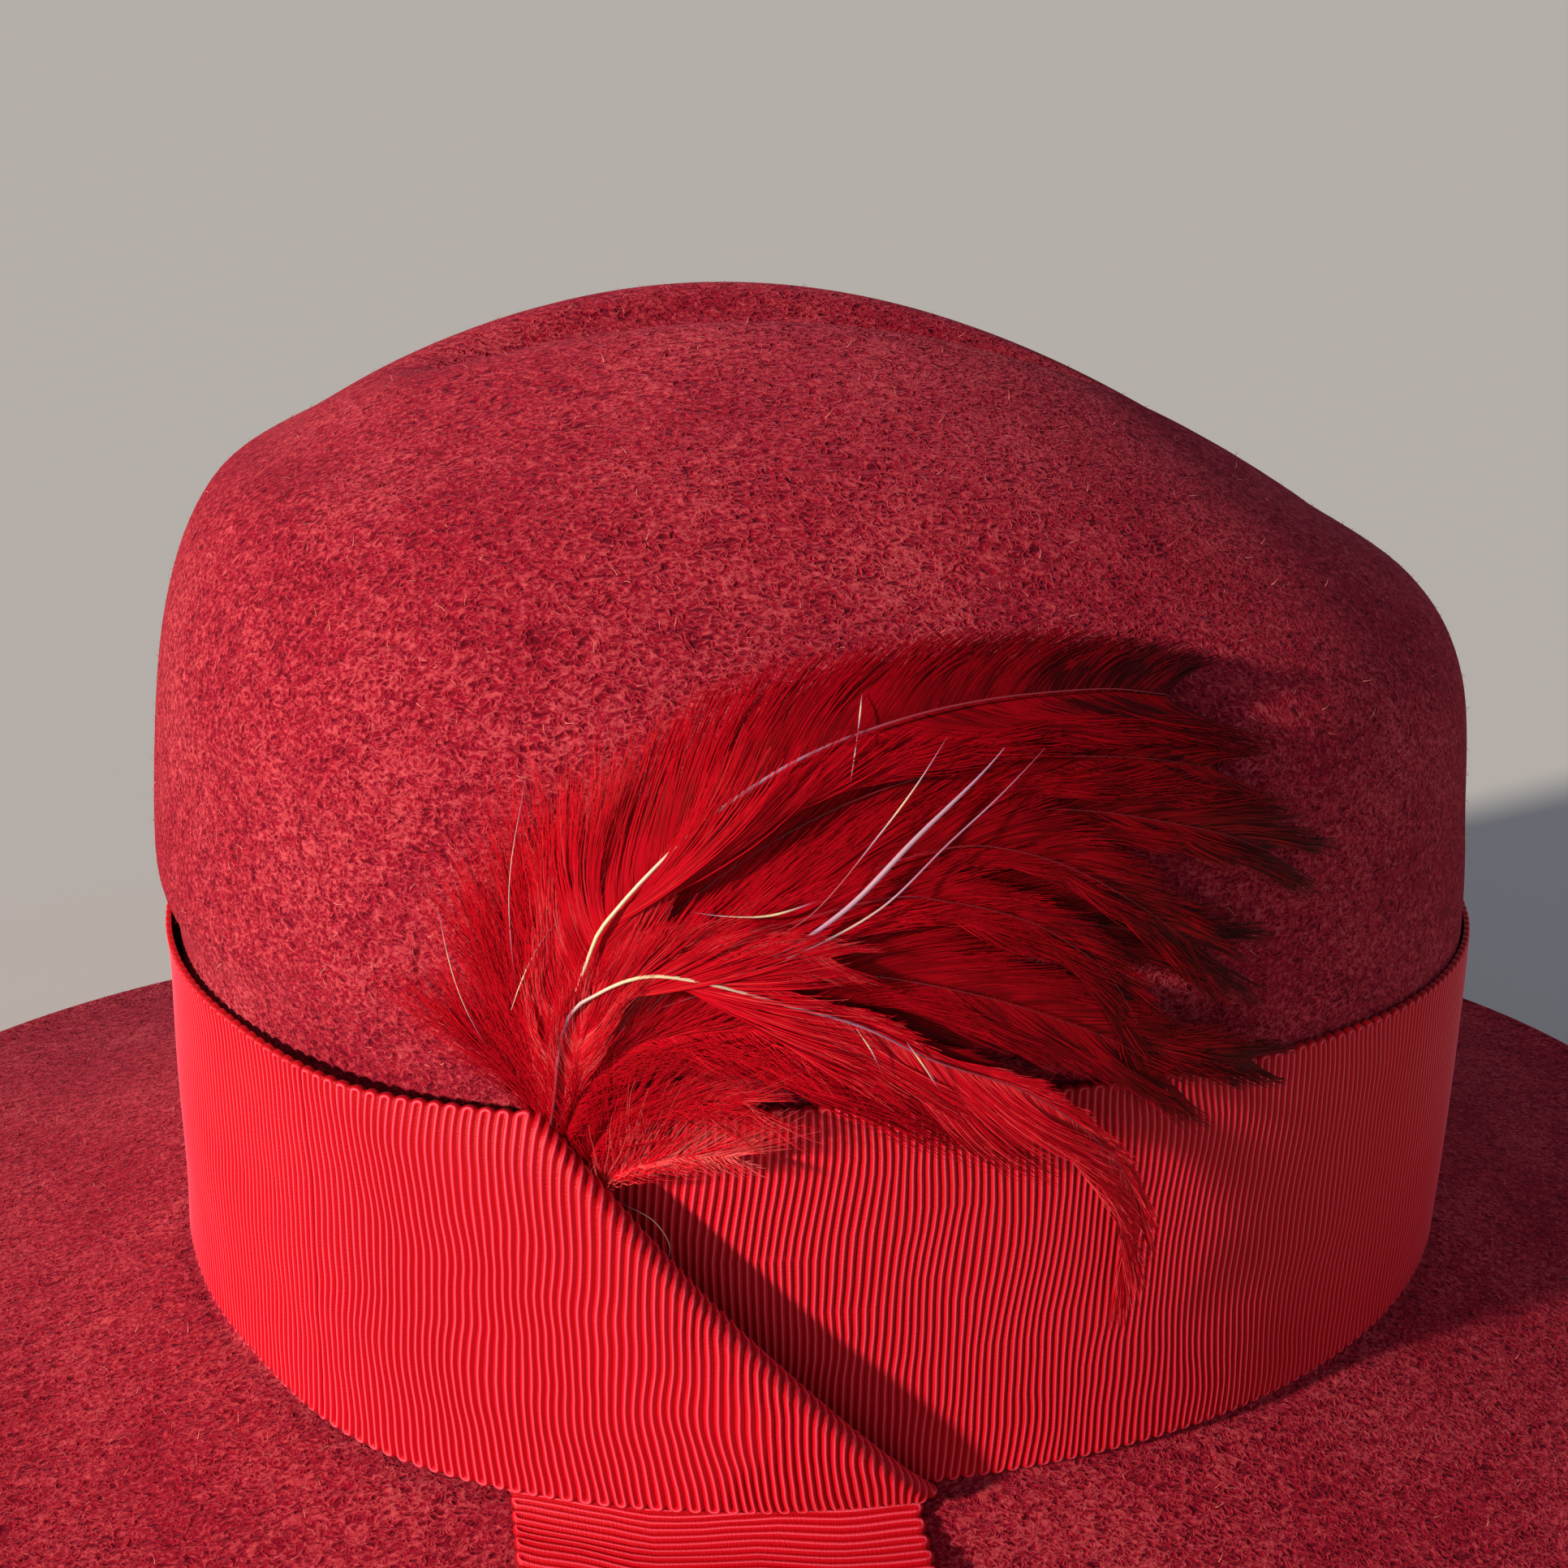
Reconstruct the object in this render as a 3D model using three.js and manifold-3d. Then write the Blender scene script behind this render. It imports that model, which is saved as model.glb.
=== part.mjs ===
// A wide-brimmed wool felt hat, trimmed with a grosgrain ribbon and a spray of feathers.
// Millimetres, +Z up. The hat rests on its brim at z = 0, its front towards -X and its trimmed side towards -Y.
// The felt body is one blocked piece, crown and brim, and it is hollow from below.

import * as THREE from 'three';
import { mergeVertices } from 'three/addons/utils/BufferGeometryUtils.js';
import Module from 'manifold-3d';

const FELT_THICKNESS = 2.2;
const RIBBON_WIDTH = 57; // a number 16 grosgrain
const RIBBON_THICKNESS = 1.0;
const GAP = 0.4; // between pieces that touch
const RIBBON_FOOT = 23; // height of the ribbon's lower edge above the table, at the sides
const FOOT_RISE = 1.7; // the ribbon's lower edge above the corner where the brim starts
const CORNER_RADIUS = 2.0; // of that corner
const EGG = 0.05; // the head oval is this much narrower at its back, and wider at its front

const BRIM_FRONT = 78; // reach of the brim beyond the crown
const BRIM_BACK = 62;
const BRIM_SIDE = 55;
const BRIM_DROOP = 1.5; // power of the brim's curve: steep at the crown, level at its edge
const BRIM_EDGE_DIP = 2; // how far the sides of the brim are pressed level by the table
const BRIM_EDGE_ARCH = 12; // the front and back edges curl up by this
const BRIM_EDGE_PITCH = 2.5;

const SEGMENTS = 64; // round the hat
const RINGS_PER_ROW = 2; // between two rows of the crown table
const BRIM_RINGS = 6;

// The crown's rings, from the ribbon's foot up to the two ridges and down into the dent between them.
// height is above the ribbon's foot; front, back and side are half sizes; pitch lifts the back and lowers
// the front, arch lifts both ends; square is the power of the oval, 2 for a plain ellipse.
const CROWN = [
  { height: 0, front: 100.2, back: 100.2, side: 84, pitch: 0.6, arch: 2.5, square: 2.25 },
  { height: 28, front: 99.9, back: 99.9, side: 83.3, pitch: 0.3, arch: -0.7, square: 2.25 },
  { height: RIBBON_WIDTH, front: 99.8, back: 98.6, side: 82.2, pitch: 0, arch: -4, square: 2.25 },
  { height: 75, front: 102.5, back: 96.7, side: 80.5, pitch: 2.3, arch: -7.9, square: 2.25 },
  { height: 99, front: 99.5, back: 93.5, side: 77.2, pitch: -2.2, arch: -6.2, square: 2.2 },
  { height: 116, front: 92.5, back: 87, side: 61.5, pitch: -5.8, arch: -8.3, square: 2.15 },
  { height: 128, front: 81, back: 72.2, side: 46, pitch: -5.4, arch: -11.7, square: 2.1 },
  { height: 139, front: 67, back: 68, side: 20, pitch: -8.6, arch: -17.9, square: 2 },
  { height: 135, front: 53, back: 51, side: 11, pitch: -7, arch: -12, square: 2 },
  { height: 131, front: 34, back: 32, side: 5, pitch: -3, arch: -3, square: 2 },
];
const RIBBON_TOP_ROW = 2;
const DENT_FLOOR = 130; // height of the dent's middle above the ribbon's foot

// The ribbon's two ends, as angles round the hat: 180 is the front, 270 the trimmed side.
const UNDER_END = 234; // where the ribbon starts, flat on the felt
const FOLD_TOP = 240; // the slanting fold runs from here at the ribbon's upper edge
const FOLD_FOOT = 268.5; // to here at its foot
const LIFT_START = 206; // the outer layer leaves the felt between these two angles
const LIFT_END = 230;
const BAND_STEPS = 96; // stations along the ribbon
const SKEW_STEPS = 20; // the last of them lean over to the fold's slant
const BAND_ROWS = 5;
const FOLD_ROOM = 0.4; // the outer layer bulges over the tail by this much more than its own gap

// The tail lies behind the outer layer, comes out below it, and is folded under itself on the brim.
const TAIL_LENGTH = 32; // from the crown to the folded end
const TAIL_COLUMNS = 6;
const UNDER_LAYER_SHIFT = 2.4; // the tail's lower layer shows by this at its right edge
const TAIL_CORNER = 3; // the tail's least height behind the fold
const RIBBON_PITCH = RIBBON_THICKNESS + GAP; // from one ribbon layer to the next

// The spray: each feather runs through its points, an angle round the hat and a height above the
// ribbon's foot, and stands off the felt from root to tip.
const SPRAY = [
  { feather: 'upper', width: 20, stand: [2.2, 5], path: [[243, 62], [247, 82], [256, 96], [270, 102], [285, 103]] },
  { feather: 'lower', width: 18, stand: [2.2, 6], path: [[243, 62], [253, 79], [266, 67], [277, 49], [281, 30]] },
  { feather: 'back', width: 24, stand: [2.2, 4], path: [[243, 62], [256, 84], [272, 93], [285, 89], [296, 82]] },
  { feather: 'middle', width: 18, stand: [2.2, 4], path: [[243, 62], [256, 79], [271, 80], [286, 68]] },
  { feather: 'down_left', width: 20, stand: [2.2, 3], path: [[243, 62], [239, 76], [236, 90]] },
  { feather: 'down_up', width: 20, stand: [2.2, 3], path: [[243, 62], [243, 80], [246, 100]] },
];
const BLADE_STATIONS = 12;
const BLADE_THICKNESS = 1.2;
const KNOT = { degrees: 243, height: 62, stand: 2.2, radius: 3.6, thickness: 2.8 }; // the bound quills

const FELT_COLOUR = 0xa81c2c;
const RIBBON_COLOUR = 0xd0141e;
const FEATHER_COLOUR = 0x8c0612;

const wasm = await Module();
wasm.setup();

const lerp = THREE.MathUtils.lerp;
const COLUMNS = Object.keys(CROWN[0]);

// One column of the crown table at a level between its rows, on a smooth curve.
function smoothColumn(key, level) {
  const last = CROWN.length - 1;
  const i = THREE.MathUtils.clamp(Math.floor(level), 0, last - 1);
  const f = level - i;
  const b = CROWN[i][key];
  const c = CROWN[i + 1][key];
  const a = i > 0 ? CROWN[i - 1][key] : 2 * b - c;
  const d = i + 2 <= last ? CROWN[i + 2][key] : 2 * c - b;
  return 0.5 * (2 * b + (c - a) * f + (2 * a - 5 * b + 4 * c - d) * f * f + (3 * b - a - 3 * c + d) * f ** 3);
}

function crownRing(level) {
  return Object.fromEntries(COLUMNS.map((key) => [key, smoothColumn(key, level)]));
}

// A point of a ring, at an angle in degrees: 0 is the back, 90 the far side.
function ringPoint(ring, degrees) {
  const c = Math.cos(THREE.MathUtils.degToRad(degrees));
  const s = Math.sin(THREE.MathUtils.degToRad(degrees));
  const along = Math.sign(c) * Math.abs(c) ** (2 / ring.square);
  const across = Math.sign(s) * Math.abs(s) ** (2 / ring.square);
  const half = along < 0 ? ring.front : ring.back;
  const z = RIBBON_FOOT + ring.height + ring.pitch * along + ring.arch * along ** 2;
  return new THREE.Vector3(half * along, ring.side * across * (1 - EGG * along), z);
}

// The brim's ring at a share of its reach, 0 at the crown and 1 at the edge.
function brimRing(share) {
  const foot = CROWN[0];
  const start = -FOOT_RISE;
  const edge = FELT_THICKNESS - BRIM_EDGE_DIP - RIBBON_FOOT;
  return {
    height: edge + (start - edge) * (1 - share) ** BRIM_DROOP,
    front: foot.front + CORNER_RADIUS + BRIM_FRONT * share,
    back: foot.back + CORNER_RADIUS + BRIM_BACK * share,
    side: foot.side + CORNER_RADIUS + BRIM_SIDE * share,
    pitch: lerp(foot.pitch, BRIM_EDGE_PITCH, share),
    arch: lerp(foot.arch, BRIM_EDGE_ARCH, share),
    square: lerp(foot.square, 2.1, share),
  };
}

// A ring in the rounded corner between crown and brim; turn is 0 on the wall and 1 on the brim.
function cornerRing(turn) {
  const foot = CROWN[0];
  const out = CORNER_RADIUS * (1 - Math.cos(turn * Math.PI / 2));
  const height = CORNER_RADIUS * (1 - Math.sin(turn * Math.PI / 2)) - FOOT_RISE;
  return { ...foot, height, front: foot.front + out, back: foot.back + out, side: foot.side + out };
}

function solid(points, triangles) {
  const geometry = new THREE.BufferGeometry();
  geometry.setAttribute('position', new THREE.Float32BufferAttribute(points.flatMap((p) => p.toArray()), 3));
  geometry.setIndex(triangles);
  return geometry;
}

// Two triangles for each step round two rings of points; they face out where inner lies inside outer.
function joinRings(triangles, inner, outer, count) {
  for (let i = 0; i < count; i++) {
    const j = (i + 1) % count;
    triangles.push(inner + i, outer + i, outer + j, inner + i, outer + j, inner + j);
  }
}

function feltBody() {
  const rings = [];
  for (let level = CROWN.length - 1; level >= 0; level -= 1 / RINGS_PER_ROW) {
    rings.push(crownRing(level));
  }
  rings.push(cornerRing(0.5));
  for (let k = 0; k <= BRIM_RINGS; k++) {
    rings.push(brimRing(k / BRIM_RINGS));
  }
  const top = [new THREE.Vector3(0, 0, RIBBON_FOOT + DENT_FLOOR)];
  for (const ring of rings) {
    for (let i = 0; i < SEGMENTS; i++) {
      top.push(ringPoint(ring, i * 360 / SEGMENTS));
    }
  }
  const sheet = [];
  for (let i = 0; i < SEGMENTS; i++) {
    sheet.push(0, 1 + i, 1 + (i + 1) % SEGMENTS);
  }
  for (let k = 0; k + 1 < rings.length; k++) {
    joinRings(sheet, 1 + k * SEGMENTS, 1 + (k + 1) * SEGMENTS, SEGMENTS);
  }
  const outside = solid(top, sheet);
  outside.computeVertexNormals();
  const normal = new THREE.Vector3();
  const under = top.map((p, i) => {
    normal.fromBufferAttribute(outside.attributes.normal, i);
    const q = p.clone().addScaledVector(normal, -FELT_THICKNESS);
    return q.setZ(Math.max(q.z, 0));
  });
  for (const p of top) {
    p.z = Math.max(p.z, FELT_THICKNESS);
  }
  const triangles = [...sheet];
  for (let i = 0; i < sheet.length; i += 3) {
    triangles.push(top.length + sheet[i], top.length + sheet[i + 2], top.length + sheet[i + 1]);
  }
  joinRings(triangles, top.length - SEGMENTS, 2 * top.length - SEGMENTS, SEGMENTS);
  return solid([...top, ...under], triangles);
}

function wallNormal(level, degrees) {
  const round = ringPoint(crownRing(level), degrees + 0.5).sub(ringPoint(crownRing(level), degrees - 0.5));
  const up = ringPoint(crownRing(level + 0.02), degrees).sub(ringPoint(crownRing(level - 0.02), degrees));
  return round.cross(up).normalize();
}

// A point that stands off the crown's wall by a distance.
function offWall(level, degrees, distance) {
  return ringPoint(crownRing(level), degrees).addScaledVector(wallNormal(level, degrees), distance);
}

// A strip from stations along it. Each station has the same number of rows across the strip, and
// each row has a point on the face towards the felt (back) and one on the other face (front).
function strip(stations) {
  const rows = stations[0].length;
  const count = 2 * rows;
  const points = stations.flatMap((rowsOf) => [
    ...rowsOf.map((row) => row.back),
    ...rowsOf.map((row) => row.front).reverse(),
  ]);
  const triangles = [];
  for (let k = 0; k + 1 < stations.length; k++) {
    joinRings(triangles, (k + 1) * count, k * count, count);
  }
  const end = (stations.length - 1) * count;
  for (let i = 0; i + 1 < rows; i++) {
    const j = count - 1 - i;
    triangles.push(i, j, j - 1, i, j - 1, i + 1);
    triangles.push(end + i, end + j - 1, end + j, end + i, end + i + 1, end + j - 1);
  }
  return solid(points, triangles);
}

// One ribbon goes right round the crown from its flat end, and its second end lies over the first.
function ribbonBand() {
  const start = UNDER_END;
  const end = FOLD_TOP + 360;
  const lift = 2 * RIBBON_PITCH + FOLD_ROOM;
  const stations = [];
  for (let k = 0; k <= BAND_STEPS; k++) {
    const degrees = lerp(start, end, k / BAND_STEPS);
    const slant = Math.max(0, 1 - (BAND_STEPS - k) / SKEW_STEPS);
    const rows = [];
    for (let r = 0; r <= BAND_ROWS; r++) {
      const share = r / BAND_ROWS;
      const angle = degrees + slant * (1 - share) * (FOLD_FOOT - FOLD_TOP);
      const level = share * RIBBON_TOP_ROW;
      const back = GAP + lift * THREE.MathUtils.smoothstep(angle - 360, LIFT_START, LIFT_END);
      rows.push({ back: offWall(level, angle, back), front: offWall(level, angle, back + RIBBON_THICKNESS) });
    }
    stations.push(rows);
  }
  return strip(stations);
}

// The height of the brim's upper face at a place on the trimmed side.
function brimHeight(x, y) {
  let low = 0;
  let high = 1;
  for (let k = 0; k < 30; k++) {
    const share = (low + high) / 2;
    const ring = brimRing(share);
    const along = x / (x < 0 ? ring.front : ring.back);
    const across = y / (ring.side * (1 - EGG * along));
    if (Math.abs(along) ** ring.square + Math.abs(across) ** ring.square > 1) {
      low = share;
    } else {
      high = share;
    }
  }
  const ring = brimRing(low);
  const along = x / (x < 0 ? ring.front : ring.back);
  return Math.max(RIBBON_FOOT + ring.height + ring.pitch * along + ring.arch * along ** 2, FELT_THICKNESS);
}

// The tail's way over the brim: out is the distance from the wall, back and front its faces' heights
// above the felt. It lies low under the band's edge, then rides up on its own lower layer.
const TAIL_WAY = [
  { out: 3.4, back: GAP, front: RIBBON_PITCH },
  { out: 7, back: GAP, front: RIBBON_PITCH },
  { out: 11, back: GAP + RIBBON_PITCH, front: 2 * RIBBON_PITCH },
  { out: 18, back: GAP + RIBBON_PITCH, front: 2 * RIBBON_PITCH },
  { out: 25, back: GAP + RIBBON_PITCH, front: 2 * RIBBON_PITCH },
  { out: TAIL_LENGTH - 1.5, back: GAP + RIBBON_PITCH, front: 2 * RIBBON_PITCH },
];
const TAIL_RETURN = [
  { out: TAIL_LENGTH - 1.5, back: RIBBON_PITCH, front: GAP },
  { out: 25, back: RIBBON_PITCH, front: GAP },
  { out: 18, back: RIBBON_PITCH, front: GAP },
  { out: 11.5, back: RIBBON_PITCH, front: GAP },
];

function ribbonTail() {
  const columns = [];
  for (let c = 0; c <= TAIL_COLUMNS; c++) {
    const share = c / TAIL_COLUMNS;
    const angle = lerp(FOLD_TOP, FOLD_FOOT, share);
    columns.push({ share, angle, foot: offWall(0, angle, 0) });
  }
  const stations = [];
  const wallBack = GAP + RIBBON_PITCH;
  for (const part of [0, 0.35, 0.7, 1]) {
    stations.push(columns.map(({ share, angle }) => {
      const top = Math.max(RIBBON_WIDTH * (1 - share), TAIL_CORNER) - RIBBON_PITCH;
      const level = levelAt(lerp(top, 0.6, part));
      return { back: offWall(level, angle, wallBack), front: offWall(level, angle, wallBack + RIBBON_THICKNESS) };
    }));
  }
  const onBrim = (foot, shift, out, rise) => {
    const x = foot.x + shift;
    const y = foot.y - out;
    return new THREE.Vector3(x, y, brimHeight(x, y) + rise);
  };
  for (const { out, back, front } of TAIL_WAY) {
    stations.push(columns.map(({ foot }) => ({
      back: onBrim(foot, 0, out, back),
      front: onBrim(foot, 0, out, front),
    })));
  }
  stations.push(columns.map(({ foot }) => ({
    back: onBrim(foot, UNDER_LAYER_SHIFT / 2, TAIL_LENGTH - 0.9, RIBBON_PITCH + GAP / 2),
    front: onBrim(foot, UNDER_LAYER_SHIFT / 2, TAIL_LENGTH, RIBBON_PITCH + GAP / 2),
  })));
  for (const { out, back, front } of TAIL_RETURN) {
    stations.push(columns.map(({ foot }) => ({
      back: onBrim(foot, UNDER_LAYER_SHIFT, out, back),
      front: onBrim(foot, UNDER_LAYER_SHIFT, out, front),
    })));
  }
  return strip(stations);
}

// The level in the crown's table at a height above the ribbon's foot.
function levelAt(height) {
  let low = -0.2;
  let high = 7;
  for (let k = 0; k < 30; k++) {
    const middle = (low + high) / 2;
    if (smoothColumn('height', middle) < height) {
      low = middle;
    } else {
      high = middle;
    }
  }
  return low;
}

// A feather as a thin blade that follows the crown.
function blade({ width, stand, path }) {
  const route = new THREE.CatmullRomCurve3(path.map(([degrees, height], i) => {
    return offWall(levelAt(height), degrees, lerp(stand[0], stand[1], i / (path.length - 1)));
  }));
  const angles = new THREE.SplineCurve(path.map(([degrees, height]) => new THREE.Vector2(degrees, height)));
  const stations = [];
  for (let k = 0; k <= BLADE_STATIONS; k++) {
    const t = k / BLADE_STATIONS;
    const centre = route.getPoint(t);
    const place = angles.getPoint(t);
    const out = wallNormal(levelAt(place.y), place.x);
    const side = out.clone().cross(route.getTangent(t)).normalize();
    const half = width * (0.06 + 0.44 * Math.sin(Math.PI * t ** 0.8));
    stations.push([-1, 0, 1].map((across) => {
      const thick = BLADE_THICKNESS * (across === 0 ? 1 : 0.4);
      const middle = centre.clone().addScaledVector(side, half * across);
      return {
        back: middle.clone().addScaledVector(out, -thick / 2),
        front: middle.clone().addScaledVector(out, thick / 2),
      };
    }));
  }
  return strip(stations);
}

function toManifold(geometry) {
  const bare = geometry.clone();
  for (const name of ['normal', 'uv']) {
    bare.deleteAttribute(name);
  }
  const merged = mergeVertices(bare, 1e-4);
  return new wasm.Manifold(new wasm.Mesh({
    numProp: 3,
    vertProperties: merged.attributes.position.array,
    triVerts: Uint32Array.from(merged.index.array),
  }));
}

// The feathers joined at the knot where their quills are bound.
function featherSpray() {
  const knot = new THREE.SphereGeometry(KNOT.radius, 12, 8);
  const out = wallNormal(levelAt(KNOT.height), KNOT.degrees);
  knot.scale(1, 1, KNOT.thickness / 2 / KNOT.radius);
  knot.applyQuaternion(new THREE.Quaternion().setFromUnitVectors(new THREE.Vector3(0, 0, 1), out));
  knot.translate(...offWall(levelAt(KNOT.height), KNOT.degrees, KNOT.stand).toArray());
  let spray = toManifold(knot);
  for (const feather of SPRAY) {
    spray = spray.add(toManifold(blade(feather)));
  }
  const mesh = spray.getMesh();
  const geometry = new THREE.BufferGeometry();
  geometry.setAttribute('position', new THREE.BufferAttribute(Float32Array.from(mesh.vertProperties), 3));
  geometry.setIndex(Array.from(mesh.triVerts));
  return geometry;
}

function piece(name, geometry, color, roughness) {
  const mesh = new THREE.Mesh(geometry, new THREE.MeshStandardMaterial({ color, roughness, metalness: 0 }));
  mesh.name = name;
  return mesh;
}

const hat = new THREE.Group();
hat.add(
  piece('felt_body', feltBody(), FELT_COLOUR, 0.95),
  piece('ribbon_band', ribbonBand(), RIBBON_COLOUR, 0.7),
  piece('ribbon_tail', ribbonTail(), RIBBON_COLOUR, 0.7),
  piece('feather_spray', featherSpray(), FEATHER_COLOUR, 0.8),
);
hat.position.x = (BRIM_FRONT - BRIM_BACK) / 2; // the origin is under the middle of the brim
export default hat;
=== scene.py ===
# %% [markdown]
# # A red wool felt hat
# The hat is one blocked piece of felt with a ribbed ribbon round its crown and a spray of dyed feathers tucked
# behind the ribbon's slanting fold. This lesson dresses a plain solid model of it. The solids come first, as a
# fixed frame in metres, because every surface made here has to lie where its solid is.

import math

import bpy
import numpy as np
from mathutils import Matrix, Vector


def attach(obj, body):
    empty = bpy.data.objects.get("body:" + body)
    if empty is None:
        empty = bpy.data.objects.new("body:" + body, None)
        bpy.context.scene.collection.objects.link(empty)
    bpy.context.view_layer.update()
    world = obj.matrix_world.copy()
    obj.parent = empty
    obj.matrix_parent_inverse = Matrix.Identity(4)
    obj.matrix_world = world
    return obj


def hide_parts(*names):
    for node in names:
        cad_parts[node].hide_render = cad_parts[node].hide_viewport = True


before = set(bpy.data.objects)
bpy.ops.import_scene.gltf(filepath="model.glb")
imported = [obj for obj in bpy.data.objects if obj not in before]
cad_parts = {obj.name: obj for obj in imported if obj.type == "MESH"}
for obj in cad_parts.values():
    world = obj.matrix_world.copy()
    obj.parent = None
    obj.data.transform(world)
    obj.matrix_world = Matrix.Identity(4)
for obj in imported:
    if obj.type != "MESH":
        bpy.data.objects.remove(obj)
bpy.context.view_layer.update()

# %% [markdown]
# The camera comes before the pieces, since the photograph's view decides how fine each of them has to be. A
# phone held near the hat gives strong perspective, so the place matters as much as the direction. Both were
# worked out from the ribbon's edges, whose width is known. The lens is given as the focal length in pixels of
# a square picture, turned into millimetres on Blender's 36 mm sensor.

# %% Camera
MM = 0.001
PICTURE_SIDE = 1932
FOCAL_PIXELS = 2600
SENSOR = 36
CAMERA_PLACE = Vector((-63.84, -300.96, 208.90)) * MM
VIEW_WAY = Vector((0.19371, 0.91133, -0.36325))
ROLL = math.radians(2.33)


def make_camera():
    lens = bpy.data.cameras.new("camera")
    lens.sensor_width = SENSOR
    lens.lens = FOCAL_PIXELS / PICTURE_SIDE * SENSOR
    lens.clip_start = 0.01
    camera = bpy.data.objects.new("camera", lens)
    turn = VIEW_WAY.to_track_quat("-Z", "Y").to_matrix().to_4x4()
    camera.matrix_world = Matrix.Translation(CAMERA_PLACE) @ turn @ Matrix.Rotation(ROLL, 4, "Z")
    bpy.context.scene.collection.objects.link(camera)
    bpy.context.scene.camera = camera
    return camera


camera = make_camera()
print("lens", round(camera.data.lens, 2), "mm, right is", [round(x, 3) for x in camera.matrix_world.col[0][:3]])

# %% [markdown]
# A felt hat is pressed over a wooden block, so its form is a stack of ovals. One short table holds them: half
# sizes to the front, the back and the sides, and how each oval tips and arches. A smooth curve through the
# rows gives every ring between them. Sculpting by hand could give the same crown, but a table keeps the solid
# and the finish exactly alike.

# %% The crown's ovals
FELT_THICKNESS = 2.2
RIBBON_WIDTH = 57
RIBBON_FOOT = 23
FOOT_RISE = 1.7
CORNER_RADIUS = 2.0
EGG = 0.05
BRIM_FRONT = 78
BRIM_BACK = 62
BRIM_SIDE = 55
BRIM_DROOP = 1.5
BRIM_EDGE_DIP = 2
BRIM_EDGE_ARCH = 12
BRIM_EDGE_PITCH = 2.5
BRIM_EDGE_SQUARE = 2.1
DENT_FLOOR = 130
CENTRE = (BRIM_FRONT - BRIM_BACK) / 2

COLUMNS = ("height", "front", "back", "side", "pitch", "arch", "square")
CROWN = (
    (0, 100.2, 100.2, 84, 0.6, 2.5, 2.25),
    (28, 99.9, 99.9, 83.3, 0.3, -0.7, 2.25),
    (RIBBON_WIDTH, 99.8, 98.6, 82.2, 0, -4, 2.25),
    (75, 102.5, 96.7, 80.5, 2.3, -7.9, 2.25),
    (99, 99.5, 93.5, 77.2, -2.2, -6.2, 2.2),
    (116, 92.5, 87, 61.5, -5.8, -8.3, 2.15),
    (128, 81, 72.2, 46, -5.4, -11.7, 2.1),
    (139, 67, 68, 20, -8.6, -17.9, 2),
    (135, 53, 51, 11, -7, -12, 2),
    (131, 34, 32, 5, -3, -3, 2),
)
TOP_LEVEL = len(CROWN) - 1
RIBBON_TOP_LEVEL = 2
RIDGE_LEVEL = 7


def crown_ring(level):
    """The oval at a level between the table's rows, as a dict of arrays."""
    level = np.asarray(level, float)
    rows = np.array(CROWN)
    rows = np.vstack([2 * rows[0] - rows[1], rows, 2 * rows[-1] - rows[-2]])
    i = np.clip(np.floor(level).astype(int), 0, TOP_LEVEL - 1)
    f = (level - i)[..., None]
    a, b, c, d = rows[i], rows[i + 1], rows[i + 2], rows[i + 3]
    ring = 0.5 * (2 * b + (c - a) * f + (2 * a - 5 * b + 4 * c - d) * f**2 + (3 * b - a - 3 * c + d) * f**3)
    return {name: ring[..., k] for k, name in enumerate(COLUMNS)}


def ring_point(ring, degrees):
    """Points of a ring in metres; 0 degrees is the back, 180 the front and 270 the trimmed side."""
    c, s = np.cos(np.radians(degrees)), np.sin(np.radians(degrees))
    along = np.sign(c) * np.abs(c) ** (2 / ring["square"])
    across = np.sign(s) * np.abs(s) ** (2 / ring["square"])
    half = np.where(along < 0, ring["front"], ring["back"])
    z = RIBBON_FOOT + ring["height"] + ring["pitch"] * along + ring["arch"] * along**2
    return np.stack([half * along + CENTRE, ring["side"] * across * (1 - EGG * along), z], -1) * MM


def brim_ring(share):
    """The brim's ring at a share of its reach, 0 at the crown and 1 at the edge."""
    foot = crown_ring(0)
    edge = FELT_THICKNESS - BRIM_EDGE_DIP - RIBBON_FOOT
    ring = {
        "height": edge + (-FOOT_RISE - edge) * (1 - share) ** BRIM_DROOP,
        "pitch": foot["pitch"] + (BRIM_EDGE_PITCH - foot["pitch"]) * share,
        "arch": foot["arch"] + (BRIM_EDGE_ARCH - foot["arch"]) * share,
        "square": foot["square"] + (BRIM_EDGE_SQUARE - foot["square"]) * share,
    }
    for name, reach in (("front", BRIM_FRONT), ("back", BRIM_BACK), ("side", BRIM_SIDE)):
        ring[name] = foot[name] + CORNER_RADIUS + reach * share
    return ring


def corner_ring(turn):
    """A ring in the rounded corner at the crown's foot; turn is 0 on the wall and 1 on the brim."""
    ring = dict(crown_ring(0))
    out = CORNER_RADIUS * (1 - np.cos(turn * np.pi / 2))
    ring["height"] = CORNER_RADIUS * (1 - np.sin(turn * np.pi / 2)) - FOOT_RISE
    for name in ("front", "back", "side"):
        ring[name] = ring[name] + out
    return ring


def wall_out(level, degrees):
    """The way that points straight off the crown's wall."""
    round_it = ring_point(crown_ring(level), degrees + 0.5) - ring_point(crown_ring(level), degrees - 0.5)
    up = ring_point(crown_ring(level + 0.02), degrees) - ring_point(crown_ring(level - 0.02), degrees)
    out = np.cross(round_it, up)
    return out / np.linalg.norm(out, axis=-1, keepdims=True)


LEVELS = np.linspace(-0.2, RIDGE_LEVEL, 721)
HEIGHTS = crown_ring(LEVELS)["height"]


def level_at(height):
    """The level at a height above the ribbon's foot."""
    return np.interp(height, HEIGHTS, LEVELS)


print("the crown is", np.ptp(ring_point(crown_ring(0), np.arange(0, 360, 1.0)), axis=0).round(4)[:2], "m at its foot")

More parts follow.
